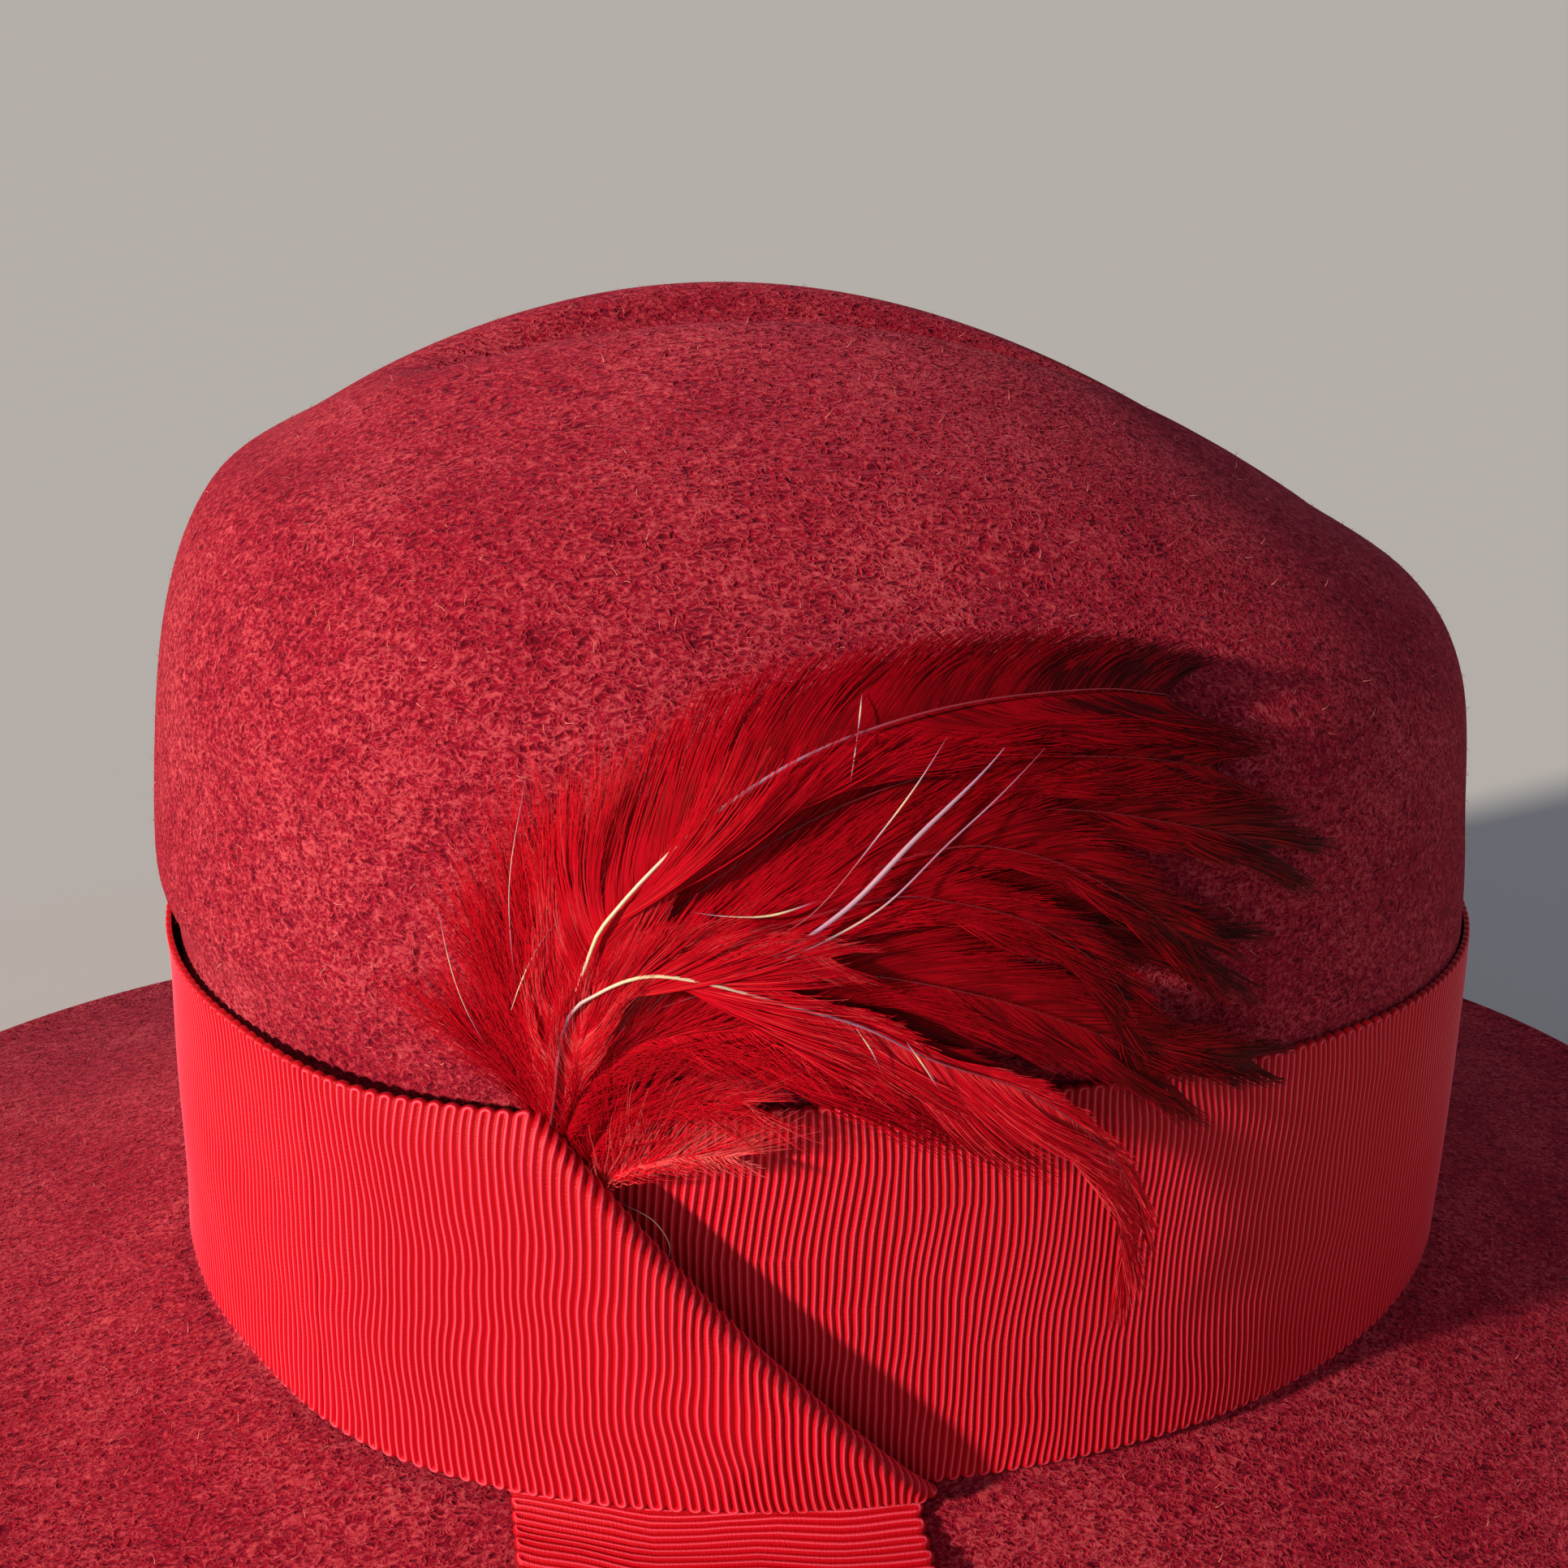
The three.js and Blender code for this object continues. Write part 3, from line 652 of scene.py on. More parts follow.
# %% Wool felt
def wool_felt():
    """Blocked wool felt: matted fibres about a millimetre long, matt, with a plum sheen at grazing angles."""
    material, tree, shader = new_material(
        "wool_felt", 0.95, sheen_weight=0.35, sheen_roughness=0.4, sheen_tint=hex_colour("#B85068"),
        specular_ior_level=0.1)
    place = add(tree, "ShaderNodeTexCoord").outputs["Object"]
    # Strands lie three ways across each other: the bright line of each is where its noise crosses a half.
    strands = None
    for turn, seed in (((0.0, 0.0, 0.4), 0.0), ((0.5, 1.5, 0.0), 3.0), ((1.2, 0.7, 1.3), 7.0)):
        turned = add(tree, "ShaderNodeMapping", [place, (seed, seed, seed), turn, (1.0, 1.7, 1.7)])
        noise = add(tree, "ShaderNodeTexNoise", [turned, 430.0, 1.0, 0.5, 2.0, 0.9])
        off = add(tree, "ShaderNodeMath", [add(tree, "ShaderNodeMath", [noise.outputs[0], 0.5],
                                               operation="SUBTRACT")], operation="ABSOLUTE")
        line = add(tree, "ShaderNodeMapRange", [off, 0.0, 0.16, 1.0, 0.0])
        strands = line if strands is None else add(tree, "ShaderNodeMath", [strands, line], operation="MAXIMUM")
    patch = add(tree, "ShaderNodeTexNoise", [place, 60.0, 2.0])
    fine = add(tree, "ShaderNodeTexNoise", [place, 1500.0, 1.0])
    tone = add(tree, "ShaderNodeMapRange", [strands, 0.25, 1.0, 0.0, 0.62])
    tone = add(tree, "ShaderNodeMath", [patch.outputs[0], 0.3, add(
        tree, "ShaderNodeMath", [tone, -0.15], operation="ADD")], operation="MULTIPLY_ADD")
    tone = add(tree, "ShaderNodeMath", [fine.outputs[0], 0.5, add(
        tree, "ShaderNodeMath", [tone, -0.2], operation="ADD")], operation="MULTIPLY_ADD")
    ramp = add(tree, "ShaderNodeValToRGB", [tone])
    ramp.color_ramp.elements[0].color = hex_colour("#5E0416")
    ramp.color_ramp.elements[1].color = hex_colour("#E86468")
    middle = ramp.color_ramp.elements.new(0.5)
    middle.color = hex_colour("#9C1028")
    tree.links.new(ramp.outputs["Color"], shader.inputs["Base Color"])
    bump = add(tree, "ShaderNodeBump", [0.65, 0.0005, None, strands])
    tree.links.new(bump.outputs[0], shader.inputs["Normal"])
    return material


def felt_fibre():
    """Single fibres that stand out of the felt; each one's chance picks its colour, and the lighter end is painted
    light, for the light that passes through them.
    """
    material, tree, shader = new_material(
        "felt_fibre", 0.8, sheen_weight=0.3, sheen_tint=hex_colour("#E8A0A8"))
    chance = add(tree, "ShaderNodeAttribute", attribute_name="chance")
    tone = add(tree, "ShaderNodeSeparateXYZ", [chance.outputs["Vector"]])
    ramp = add(tree, "ShaderNodeValToRGB", [tone.outputs[2]])
    ramp.color_ramp.elements[0].color = hex_colour("#7A0C1A")
    ramp.color_ramp.elements[1].color = hex_colour("#E88A78")
    middle = ramp.color_ramp.elements.new(0.8)
    middle.color = hex_colour("#C02C40")
    tree.links.new(ramp.outputs["Color"], shader.inputs["Base Color"])
    return material


def grosgrain_material():
    """Rayon grosgrain with fine warp threads that run across the ribs; its colour paints a bright highlight on the
    crests and deep shade in the valleys.
    """
    material, tree, shader = new_material(
        "rayon_grosgrain", 0.45, sheen_weight=0.08, sheen_tint=hex_colour("#FF8088"), specular_ior_level=0.3,
        specular_tint=hex_colour("#FFA0A0"))
    weave = add(tree, "ShaderNodeUVMap", uv_map="weave")
    crest = add(tree, "ShaderNodeAttribute", attribute_name="crest")
    # The crest value paints the ribs' light: a pink painted highlight on each crest and deep red painted shade in
    # each valley.
    ramp = add(tree, "ShaderNodeValToRGB", [crest.outputs["Fac"]])
    ramp.color_ramp.elements[0].color = hex_colour("#98000C")
    ramp.color_ramp.elements[1].color = hex_colour("#FC5A70")
    for position, code in ((0.5, "#C40010"), (0.82, "#D00A20")):
        ramp.color_ramp.elements.new(position).color = hex_colour(code)
    tree.links.new(ramp.outputs["Color"], shader.inputs["Base Color"])
    threads = add(tree, "ShaderNodeMapping", [weave, None, None, (900.0, 3600.0, 1.0)])
    noise = add(tree, "ShaderNodeTexNoise", [threads, 1.0, 2.0, 0.6], noise_dimensions="2D")
    bump = add(tree, "ShaderNodeBump", [0.35, 0.0002, None, noise.outputs[0]])
    tree.links.new(bump.outputs[0], shader.inputs["Normal"])
    return material


def dyed_barb():
    """Dyed feather barbs: keratin with a silky streak of light along each barb, and painted shade that darkens them
    where they lie deep and towards the shaded side.
    """
    material, tree, shader = new_material(
        "dyed_feather_barbs", 0.5, sheen_weight=0.05, sheen_tint=hex_colour("#FF5050"), specular_ior_level=0.22,
        specular_tint=hex_colour("#FF8878"))
    chance = add(tree, "ShaderNodeAttribute", attribute_name="chance")
    shade = add(tree, "ShaderNodeAttribute", attribute_name="shade")
    spread = add(tree, "ShaderNodeSeparateXYZ", [chance.outputs["Vector"]])
    # Painted light and shade: each feather's shade value, plus a random spread for each barb.
    tone = add(tree, "ShaderNodeMath", [spread.outputs[2], 0.35, shade.outputs["Fac"]], operation="MULTIPLY_ADD")
    ramp = add(tree, "ShaderNodeValToRGB", [tone])
    ramp.color_ramp.elements[0].color = hex_colour("#2C0004")
    ramp.color_ramp.elements[1].color = hex_colour("#FF7A78")
    for position, code in ((0.4, "#980010"), (0.7, "#DC0A22")):
        ramp.color_ramp.elements.new(position).color = hex_colour(code)
    tree.links.new(ramp.outputs["Color"], shader.inputs["Base Color"])
    return material


def bare_quill():
    """The quill's horn: cream where it is bare, with the dye showing pink and lilac through it."""
    material, tree, shader = new_material("feather_quill_horn", 0.4, ior=1.54, subsurface_weight=0.3)
    shader.inputs["Subsurface Radius"].default_value = (0.002, 0.001, 0.001)
    shader.inputs["Subsurface Scale"].default_value = 0.3
    shade = add(tree, "ShaderNodeAttribute", attribute_name="shade")
    # Filaments share this ramp, and their painted glints take its pale end.
    ramp = add(tree, "ShaderNodeValToRGB", [shade.outputs["Fac"]])
    ramp.color_ramp.elements[0].color = hex_colour("#6A0008")
    ramp.color_ramp.elements[1].color = hex_colour("#F2D9A8")
    for position, code in ((0.3, "#A02838"), (0.55, "#B284A0")):
        ramp.color_ramp.elements.new(position).color = hex_colour(code)
    tree.links.new(ramp.outputs["Color"], shader.inputs["Base Color"])
    return material


FELT = wool_felt()
FIBRE = felt_fibre()
RIBBON = grosgrain_material()
BARB = dyed_barb()
QUILL = bare_quill()
felt.data.materials.append(FELT)
print("materials:", [m.name for m in bpy.data.materials if m.users])

# %% [markdown]
# Wool felt is matted, yet single fibres stand out of it everywhere. They catch the light and soften the
# outline. Geometry Nodes scatter short bent strips over the outer faces, except under the ribbon.

# %% Loose fibres of the felt
def fibre_tree():
    """Short bent strips scattered over the faces whose nap is 1."""
    tree, given = new_tree("felt_fibres", {
        "Density": "Float", "Length": "Float", "Width": "Float", "Steepest": "Float", "Seed": "Int",
        "Material": "Material",
    })
    size = given.outputs
    strip = add(tree, "GeometryNodeMeshGrid", [1.0, 1.0, 4, 2])
    spot = add(tree, "ShaderNodeSeparateXYZ", [add(tree, "GeometryNodeInputPosition")]).outputs
    share = add(tree, "ShaderNodeMath", [spot[0], 0.5], operation="ADD")
    reach = add(tree, "ShaderNodeMath", [share, size["Length"]], operation="MULTIPLY")
    thin = add(tree, "ShaderNodeMath", [share, -0.8, 1.0], operation="MULTIPLY_ADD")
    wide = add(tree, "ShaderNodeMath", [add(tree, "ShaderNodeMath", [spot[1], thin], operation="MULTIPLY"),
                                        size["Width"]], operation="MULTIPLY")
    curl = add(tree, "ShaderNodeMath", [add(tree, "ShaderNodeMath", [share, share], operation="MULTIPLY"),
                                        size["Length"]], operation="MULTIPLY")
    curled = add(tree, "ShaderNodeMath", [curl, 0.35, wide], operation="MULTIPLY_ADD")
    bent = add(tree, "GeometryNodeSetPosition", [strip, None, add(tree, "ShaderNodeCombineXYZ", [
        reach, curled, add(tree, "ShaderNodeMath", [curl, -0.2], operation="MULTIPLY")])])
    nap = add(tree, "GeometryNodeInputNamedAttribute", ["nap"], data_type="FLOAT")
    napped = add(tree, "ShaderNodeMath", [nap, 0.99], operation="GREATER_THAN")
    dots = add(tree, "GeometryNodeDistributePointsOnFaces", named={
        "Mesh": size["Geometry"], "Selection": napped, "Density": size["Density"], "Seed": size["Seed"]})
    chance = add(tree, "FunctionNodeRandomValue", named={"Seed": size["Seed"]}, data_type="FLOAT_VECTOR")
    toned = add(tree, "GeometryNodeStoreNamedAttribute", [dots.outputs["Points"], None, "chance", chance],
                data_type="FLOAT_VECTOR", domain="POINT")
    own = add(tree, "ShaderNodeSeparateXYZ", [chance]).outputs
    steep = add(tree, "ShaderNodeMath", [add(tree, "ShaderNodeMath", [own[0], own[0]], operation="MULTIPLY"),
                                         size["Steepest"]], operation="MULTIPLY")
    tilt = add(tree, "ShaderNodeMath", [steep, -1.0], operation="MULTIPLY")
    round_it = add(tree, "ShaderNodeMath", [own[1], math.tau], operation="MULTIPLY")
    turn = add(tree, "FunctionNodeEulerToRotation", [add(tree, "ShaderNodeCombineXYZ", [0.0, tilt, round_it])])
    facing = add(tree, "FunctionNodeRotateRotation", [dots.outputs["Rotation"], turn], rotation_space="LOCAL")
    grown = add(tree, "ShaderNodeMapRange", [own[2], 0.0, 1.0, 0.45, 1.1])
    placed = add(tree, "GeometryNodeInstanceOnPoints", named={
        "Points": toned, "Instance": bent, "Rotation": facing, "Scale": grown})
    real = add(tree, "GeometryNodeRealizeInstances", [placed])
    smooth = add(tree, "GeometryNodeSetShadeSmooth", [real])
    add(tree, "NodeGroupOutput", [add(tree, "GeometryNodeSetMaterial", [smooth, None, size["Material"]])])
    return tree


def scatter_fibres():
    item = bpy.data.objects.new("felt_fibres", felt.data.copy())
    bpy.context.scene.collection.objects.link(item)
    return run_tree(item, fibre_tree(), {
        "Density": 220000.0, "Length": 1.3 * MM, "Width": 0.1 * MM, "Steepest": 0.8, "Seed": 5,
        "Material": FIBRE})


fibres = scatter_fibres()
print("fibres:", len(fibres.data.polygons) // 3)

# %% [markdown]
# The ribbon goes round the crown in two strips of the same weave: a long one, and a short one with finer rows
# where the fold turns it over. The tail is a third strip, on its own guide.

# %% Weave the ribbon
FOLD_ZONE = 30
ROWS = 31
FOLD_ROWS = 91
RIBBON_START = 10 * RIB_PITCH
RIB_PULL = 4.5
RIB_WANDER = 4.0


def weave(name, guide, start, end, rows, pull):
    """A strip of grosgrain from start to end along a guide, in millimetres, cut to whole pairs of ribs."""
    item = hidden_object(name, [(0, 0, 0)])
    item.hide_render = False
    ribs = round((end - start) / RIB_PITCH)
    return run_tree(item, grosgrain, {
        "Guide": guide, "Start": start * MM, "End": (start + ribs * RIB_PITCH) * MM,
        "Columns": ribs * SAMPLES_PER_RIB + 1, "Rows": rows, "Width": RIBBON_WIDTH * MM,
        "Rib Pitch": RIB_PITCH * MM, "Rib Height": RIB_HEIGHT * MM, "Base": RIBBON_BASE * MM,
        "Wander": RIB_WANDER * MM, "Pull": pull * MM, "Pull From": (FOLD_TOP_AT - 60) * MM,
        "Pull To": FOLD_FOOT_AT * MM, "Material": RIBBON,
    })


def joined(name, *items):
    """Joins objects into the first one."""
    with bpy.context.temp_override(active_object=items[0], selected_editable_objects=list(items)):
        bpy.ops.object.join()
    items[0].name = items[0].data.name = name
    return items[0]


fold_from = round((FOLD_TOP_AT - FOLD_ZONE) / (2 * RIB_PITCH)) * 2 * RIB_PITCH
round_crown = weave("ribbon_round", guide_of_band, RIBBON_START, fold_from, ROWS, RIB_PULL)
at_fold = weave("ribbon_fold", guide_of_band, fold_from, FOLD_FOOT_AT + 9, FOLD_ROWS, RIB_PULL)
ribbon = joined("ribbon_wrapped", round_crown, at_fold)
tail = weave("ribbon_tail_end", guide_of_tail, 0.6, TAIL_RUN - 0.6, ROWS, 0.0)
print("ribbon:", len(ribbon.data.polygons), "faces; tail:", len(tail.data.polygons))

# %% [markdown]
# A feather is a quill with barbs on both sides. Each quill runs through a few points on the crown, given as
# an angle, a height and how far it stands off the felt. The barbs are thin strips that leave the quill at a
# lean and bend towards its tip. They are laid out flat first and then wrapped round the crown, as the ribbon is, so
# they lie close to the felt. Hair particles could do it too, but they can't be exported as meshes.

# %% The crown as a flat field
FIELD_FROM = 200
FIELD_TO = 340
FIELD_BOTTOM = -0.1
FIELD_TOP = 6.9
FIELD_ANGLES = np.linspace(FIELD_FROM, FIELD_TO, 281)
FIELD_LEVELS = np.linspace(FIELD_BOTTOM, FIELD_TOP, 141)
FIELD_ACROSS = lengths_of(ring_point(crown_ring(3.0), FIELD_ANGLES))
FIELD_RISE = lengths_of(ring_point(crown_ring(FIELD_LEVELS), 270.0))


def field_guide():
    levels, degrees = np.meshgrid(FIELD_LEVELS, FIELD_ANGLES, indexing="ij")
    points = ring_point(crown_ring(levels), degrees)
    flat = np.stack(np.meshgrid(FIELD_ACROSS, FIELD_RISE), -1) * MM
    return grid_guide("crown_field", points, wall_out(levels, degrees), flat)


def flat_place(degrees, height, stand):
    """A place on the crown as a point of the flat field."""
    across = np.interp(degrees, FIELD_ANGLES, FIELD_ACROSS)
    rise = np.interp(level_at(height), FIELD_LEVELS, FIELD_RISE)
    return np.array([across, rise, stand]) * MM


def smooth_line(points, count):
    """A smooth line through points, at evenly spaced places."""
    points = np.asarray(points)
    ends = np.vstack([2 * points[0] - points[1], points, 2 * points[-1] - points[-2]])
    line = []
    for k in range(len(points) - 1):
        a, b, c, d = ends[k : k + 4]
        for f in np.linspace(0, 1, 20, endpoint=False):
            line.append(0.5 * (2 * b + (c - a) * f + (2 * a - 5 * b + 4 * c - d) * f**2
                               + (3 * b - a - 3 * c + d) * f**3))
    line = np.array([*line, points[-1]])
    way = np.concatenate([[0], np.cumsum(np.linalg.norm(np.diff(line, axis=0), axis=1))])
    even = np.linspace(0, way[-1], count)
    return np.stack([np.interp(even, way, line[:, k]) for k in range(3)], -1)


guide_of_crown = field_guide()
print("field:", FIELD_ACROSS[-1].round(1), "by", FIELD_RISE[-1].round(1), "mm")

# %% The barbs' tree
LINE_FACTS = ("left", "right", "lean_left", "lean_right", "sweep", "wave", "curls", "loose", "lift", "wide",
              "shade", "thick")


def barb_tree():
    """Thin strips along every quill, on both sides, bent in the flat field and then wrapped round the crown."""
    tree, given = new_tree("barbs", {
        "Guide": "Object", "Spacing": "Float", "Steps": "Int", "Spread": "Float", "Seed": "Int",
        "Over Ribbon": "Float", "Ribbon Edge": "Float", "Material": "Material",
    })
    size = given.outputs
    curve = add(tree, "GeometryNodeMeshToCurve", [size["Geometry"]])
    curve = add(tree, "GeometryNodeResampleCurve", [curve, None, size["Spacing"]], mode="LENGTH")
    curve = add(tree, "GeometryNodeStoreNamedAttribute", [curve, None, "way", add(
        tree, "GeometryNodeInputTangent")], data_type="FLOAT_VECTOR", domain="POINT")
    curve = add(tree, "GeometryNodeStoreNamedAttribute", [curve, None, "root", add(
        tree, "GeometryNodeInputPosition")], data_type="FLOAT_VECTOR", domain="POINT")
    dots = add(tree, "GeometryNodeCurveToPoints", [curve], mode="EVALUATED")
    strip = add(tree, "GeometryNodeMeshGrid", [1.0, 1.0, size["Steps"], 2])
    spot = add(tree, "ShaderNodeSeparateXYZ", [add(tree, "GeometryNodeInputPosition")])
    share = add(tree, "ShaderNodeMath", [spot.outputs[0], 0.5], operation="ADD")
    strip = add(tree, "GeometryNodeStoreNamedAttribute", [strip, None, "share", share],
                data_type="FLOAT", domain="POINT")
    strip = add(tree, "GeometryNodeStoreNamedAttribute", [strip, None, "edge", spot.outputs[1]],
                data_type="FLOAT", domain="POINT")
    both = add(tree, "GeometryNodeJoinGeometry")
    for side in (1, -1):
        seed = add(tree, "FunctionNodeIntegerMath", [size["Seed"], side], operation="ADD")
        chance = add(tree, "FunctionNodeRandomValue", named={"Seed": seed}, data_type="FLOAT_VECTOR")
        sided = add(tree, "GeometryNodeStoreNamedAttribute", [dots, None, "side", float(side)],
                    data_type="FLOAT", domain="POINT")
        sided = add(tree, "GeometryNodeStoreNamedAttribute", [sided, None, "chance", chance],
                    data_type="FLOAT_VECTOR", domain="POINT")
        placed = add(tree, "GeometryNodeInstanceOnPoints", named={"Points": sided, "Instance": strip})
        tree.links.new(placed.outputs[0], both.inputs[0])
    real = add(tree, "GeometryNodeRealizeInstances", [both])
    kinds = {name: "FLOAT" for name in (*LINE_FACTS, "share", "edge", "side")}
    kinds |= {name: "FLOAT_VECTOR" for name in ("way", "root", "chance")}
    fact = {name: add(tree, "GeometryNodeInputNamedAttribute", [name], data_type=kind).outputs[0]
            for name, kind in kinds.items()}
    chance = add(tree, "ShaderNodeSeparateXYZ", [fact["chance"]]).outputs
    # The barb's length and lean, each with its own small chance.
    flip = add(tree, "ShaderNodeMath", [fact["side"], 0.5, 0.5], operation="MULTIPLY_ADD")
    length = add(tree, "ShaderNodeMix", [flip, fact["right"], fact["left"]], data_type="FLOAT")
    shortest = add(tree, "ShaderNodeMath", [fact["loose"], -0.4, 0.9], operation="MULTIPLY_ADD")
    vary = add(tree, "ShaderNodeMapRange", [chance[0], 0.0, 1.0, shortest, 1.1])
    length = add(tree, "ShaderNodeMath", [length, vary], operation="MULTIPLY")
    bend = add(tree, "ShaderNodeMath", [fact["share"], fact["sweep"]], operation="MULTIPLY")
    lean = add(tree, "ShaderNodeMix", [flip, fact["lean_right"], fact["lean_left"]], data_type="FLOAT")
    angle = add(tree, "ShaderNodeMath", [add(tree, "ShaderNodeMath", [1.0, bend], operation="SUBTRACT"), lean],
                operation="MULTIPLY")
    stray = add(tree, "ShaderNodeMath", [chance[1], 0.5], operation="SUBTRACT")
    stray = add(tree, "ShaderNodeMath", [stray, size["Spread"], angle], operation="MULTIPLY_ADD")
    across = add(tree, "ShaderNodeVectorMath", [(0.0, 0.0, 1.0), fact["way"]], operation="CROSS_PRODUCT")
    across = add(tree, "ShaderNodeVectorMath", [across], operation="NORMALIZE")
    outward = add(tree, "ShaderNodeMath", [add(tree, "ShaderNodeMath", [stray], operation="SINE"),
                                           fact["side"]], operation="MULTIPLY")
    outward = add(tree, "ShaderNodeVectorMath", named={0: across, "Scale": outward}, operation="SCALE")
    onward = add(tree, "ShaderNodeVectorMath", named={0: fact["way"], "Scale": add(
        tree, "ShaderNodeMath", [stray], operation="COSINE")}, operation="SCALE")
    aim = add(tree, "ShaderNodeVectorMath", [outward, onward], operation="ADD")
    reach = add(tree, "ShaderNodeMath", [length, fact["share"]], operation="MULTIPLY")
    place = add(tree, "ShaderNodeVectorMath", named={0: aim, "Scale": reach}, operation="SCALE")
    place = add(tree, "ShaderNodeVectorMath", [place, fact["root"]], operation="ADD")
    # Waves: barbs with near roots bend together, unless they are loose.
    own = add(tree, "ShaderNodeMath", [chance[2], fact["loose"]], operation="MULTIPLY")
    own = add(tree, "ShaderNodeMath", [fact["share"], fact["curls"], own], operation="MULTIPLY_ADD")
    where = add(tree, "ShaderNodeVectorMath", named={0: fact["root"], "Scale": 160.0}, operation="SCALE")
    noise = add(tree, "ShaderNodeTexNoise", [where, own, 1.0, 2.0, 0.5], noise_dimensions="4D")
    sway = add(tree, "ShaderNodeVectorMath", [noise.outputs[1], (-0.5, -0.5, -0.5)], operation="ADD")
    amount = add(tree, "ShaderNodeMath", [fact["wave"], fact["share"]], operation="MULTIPLY")
    sway = add(tree, "ShaderNodeVectorMath", named={0: sway, "Scale": amount}, operation="SCALE")
    place = add(tree, "ShaderNodeVectorMath", [place, sway], operation="ADD")
    # The strip's width, rolled a little out of the field and thinning towards the tip.
    edge_way = add(tree, "ShaderNodeVectorMath", [(0.0, 0.0, 1.0), aim], operation="CROSS_PRODUCT")
    roll = add(tree, "ShaderNodeMapRange", [chance[2], 0.0, 1.0, -0.3, 0.3])
    edge_way = add(tree, "ShaderNodeVectorMath", [edge_way, add(
        tree, "ShaderNodeCombineXYZ", [0.0, 0.0, roll])], operation="ADD")
    thin = add(tree, "ShaderNodeMath", [fact["share"], -0.8, 1.0], operation="MULTIPLY_ADD")
    thin = add(tree, "ShaderNodeMath", [thin, fact["wide"]], operation="MULTIPLY")
    thin = add(tree, "ShaderNodeMath", [thin, fact["edge"]], operation="MULTIPLY")
    edge_way = add(tree, "ShaderNodeVectorMath", named={0: edge_way, "Scale": thin}, operation="SCALE")
    place = add(tree, "ShaderNodeVectorMath", [place, edge_way], operation="ADD")
    flat = add(tree, "ShaderNodeSeparateXYZ", [place]).outputs
    rise = add(tree, "ShaderNodeMath", [fact["lift"], fact["share"], flat[2]], operation="MULTIPLY_ADD")
    # No barb lies closer than half a millimetre to the felt, or to the ribbon where it hangs over that.
    below = add(tree, "ShaderNodeMath", [size["Ribbon Edge"], flat[1]], operation="SUBTRACT")
    least = add(tree, "ShaderNodeMapRange", [below, -0.002, 0.0, 0.0005, size["Over Ribbon"]])
    rise = add(tree, "ShaderNodeMath", [rise, least], operation="MAXIMUM")
    wrapped = wrap_nodes(tree, real, size["Guide"], flat[0], flat[1], rise)
    smooth = add(tree, "GeometryNodeSetShadeSmooth", [wrapped])
    add(tree, "NodeGroupOutput", [add(tree, "GeometryNodeSetMaterial", [smooth, None, size["Material"]])])
    return tree


def quill_tree():
    """Round quills along the lines, as thick as each point says, wrapped round the crown."""
    tree, given = new_tree("quills", {"Guide": "Object", "Step": "Float", "Sides": "Int", "Material": "Material"})
    size = given.outputs
    curve = add(tree, "GeometryNodeMeshToCurve", [size["Geometry"]])
    curve = add(tree, "GeometryNodeResampleCurve", [curve, None, size["Step"]], mode="LENGTH")
    circle = add(tree, "GeometryNodeCurvePrimitiveCircle", [size["Sides"], 1.0])
    thick = add(tree, "GeometryNodeInputNamedAttribute", ["thick"], data_type="FLOAT")
    tube = add(tree, "GeometryNodeCurveToMesh", [curve, circle, thick, True])
    flat = add(tree, "ShaderNodeSeparateXYZ", [add(tree, "GeometryNodeInputPosition")]).outputs
    wrapped = wrap_nodes(tree, tube, size["Guide"], flat[0], flat[1], flat[2])
    smooth = add(tree, "GeometryNodeSetShadeSmooth", [wrapped])
    add(tree, "NodeGroupOutput", [add(tree, "GeometryNodeSetMaterial", [smooth, None, size["Material"]])])
    return tree


BARBS = barb_tree()
QUILLS = quill_tree()
print("barb tree:", len(BARBS.nodes), "nodes")

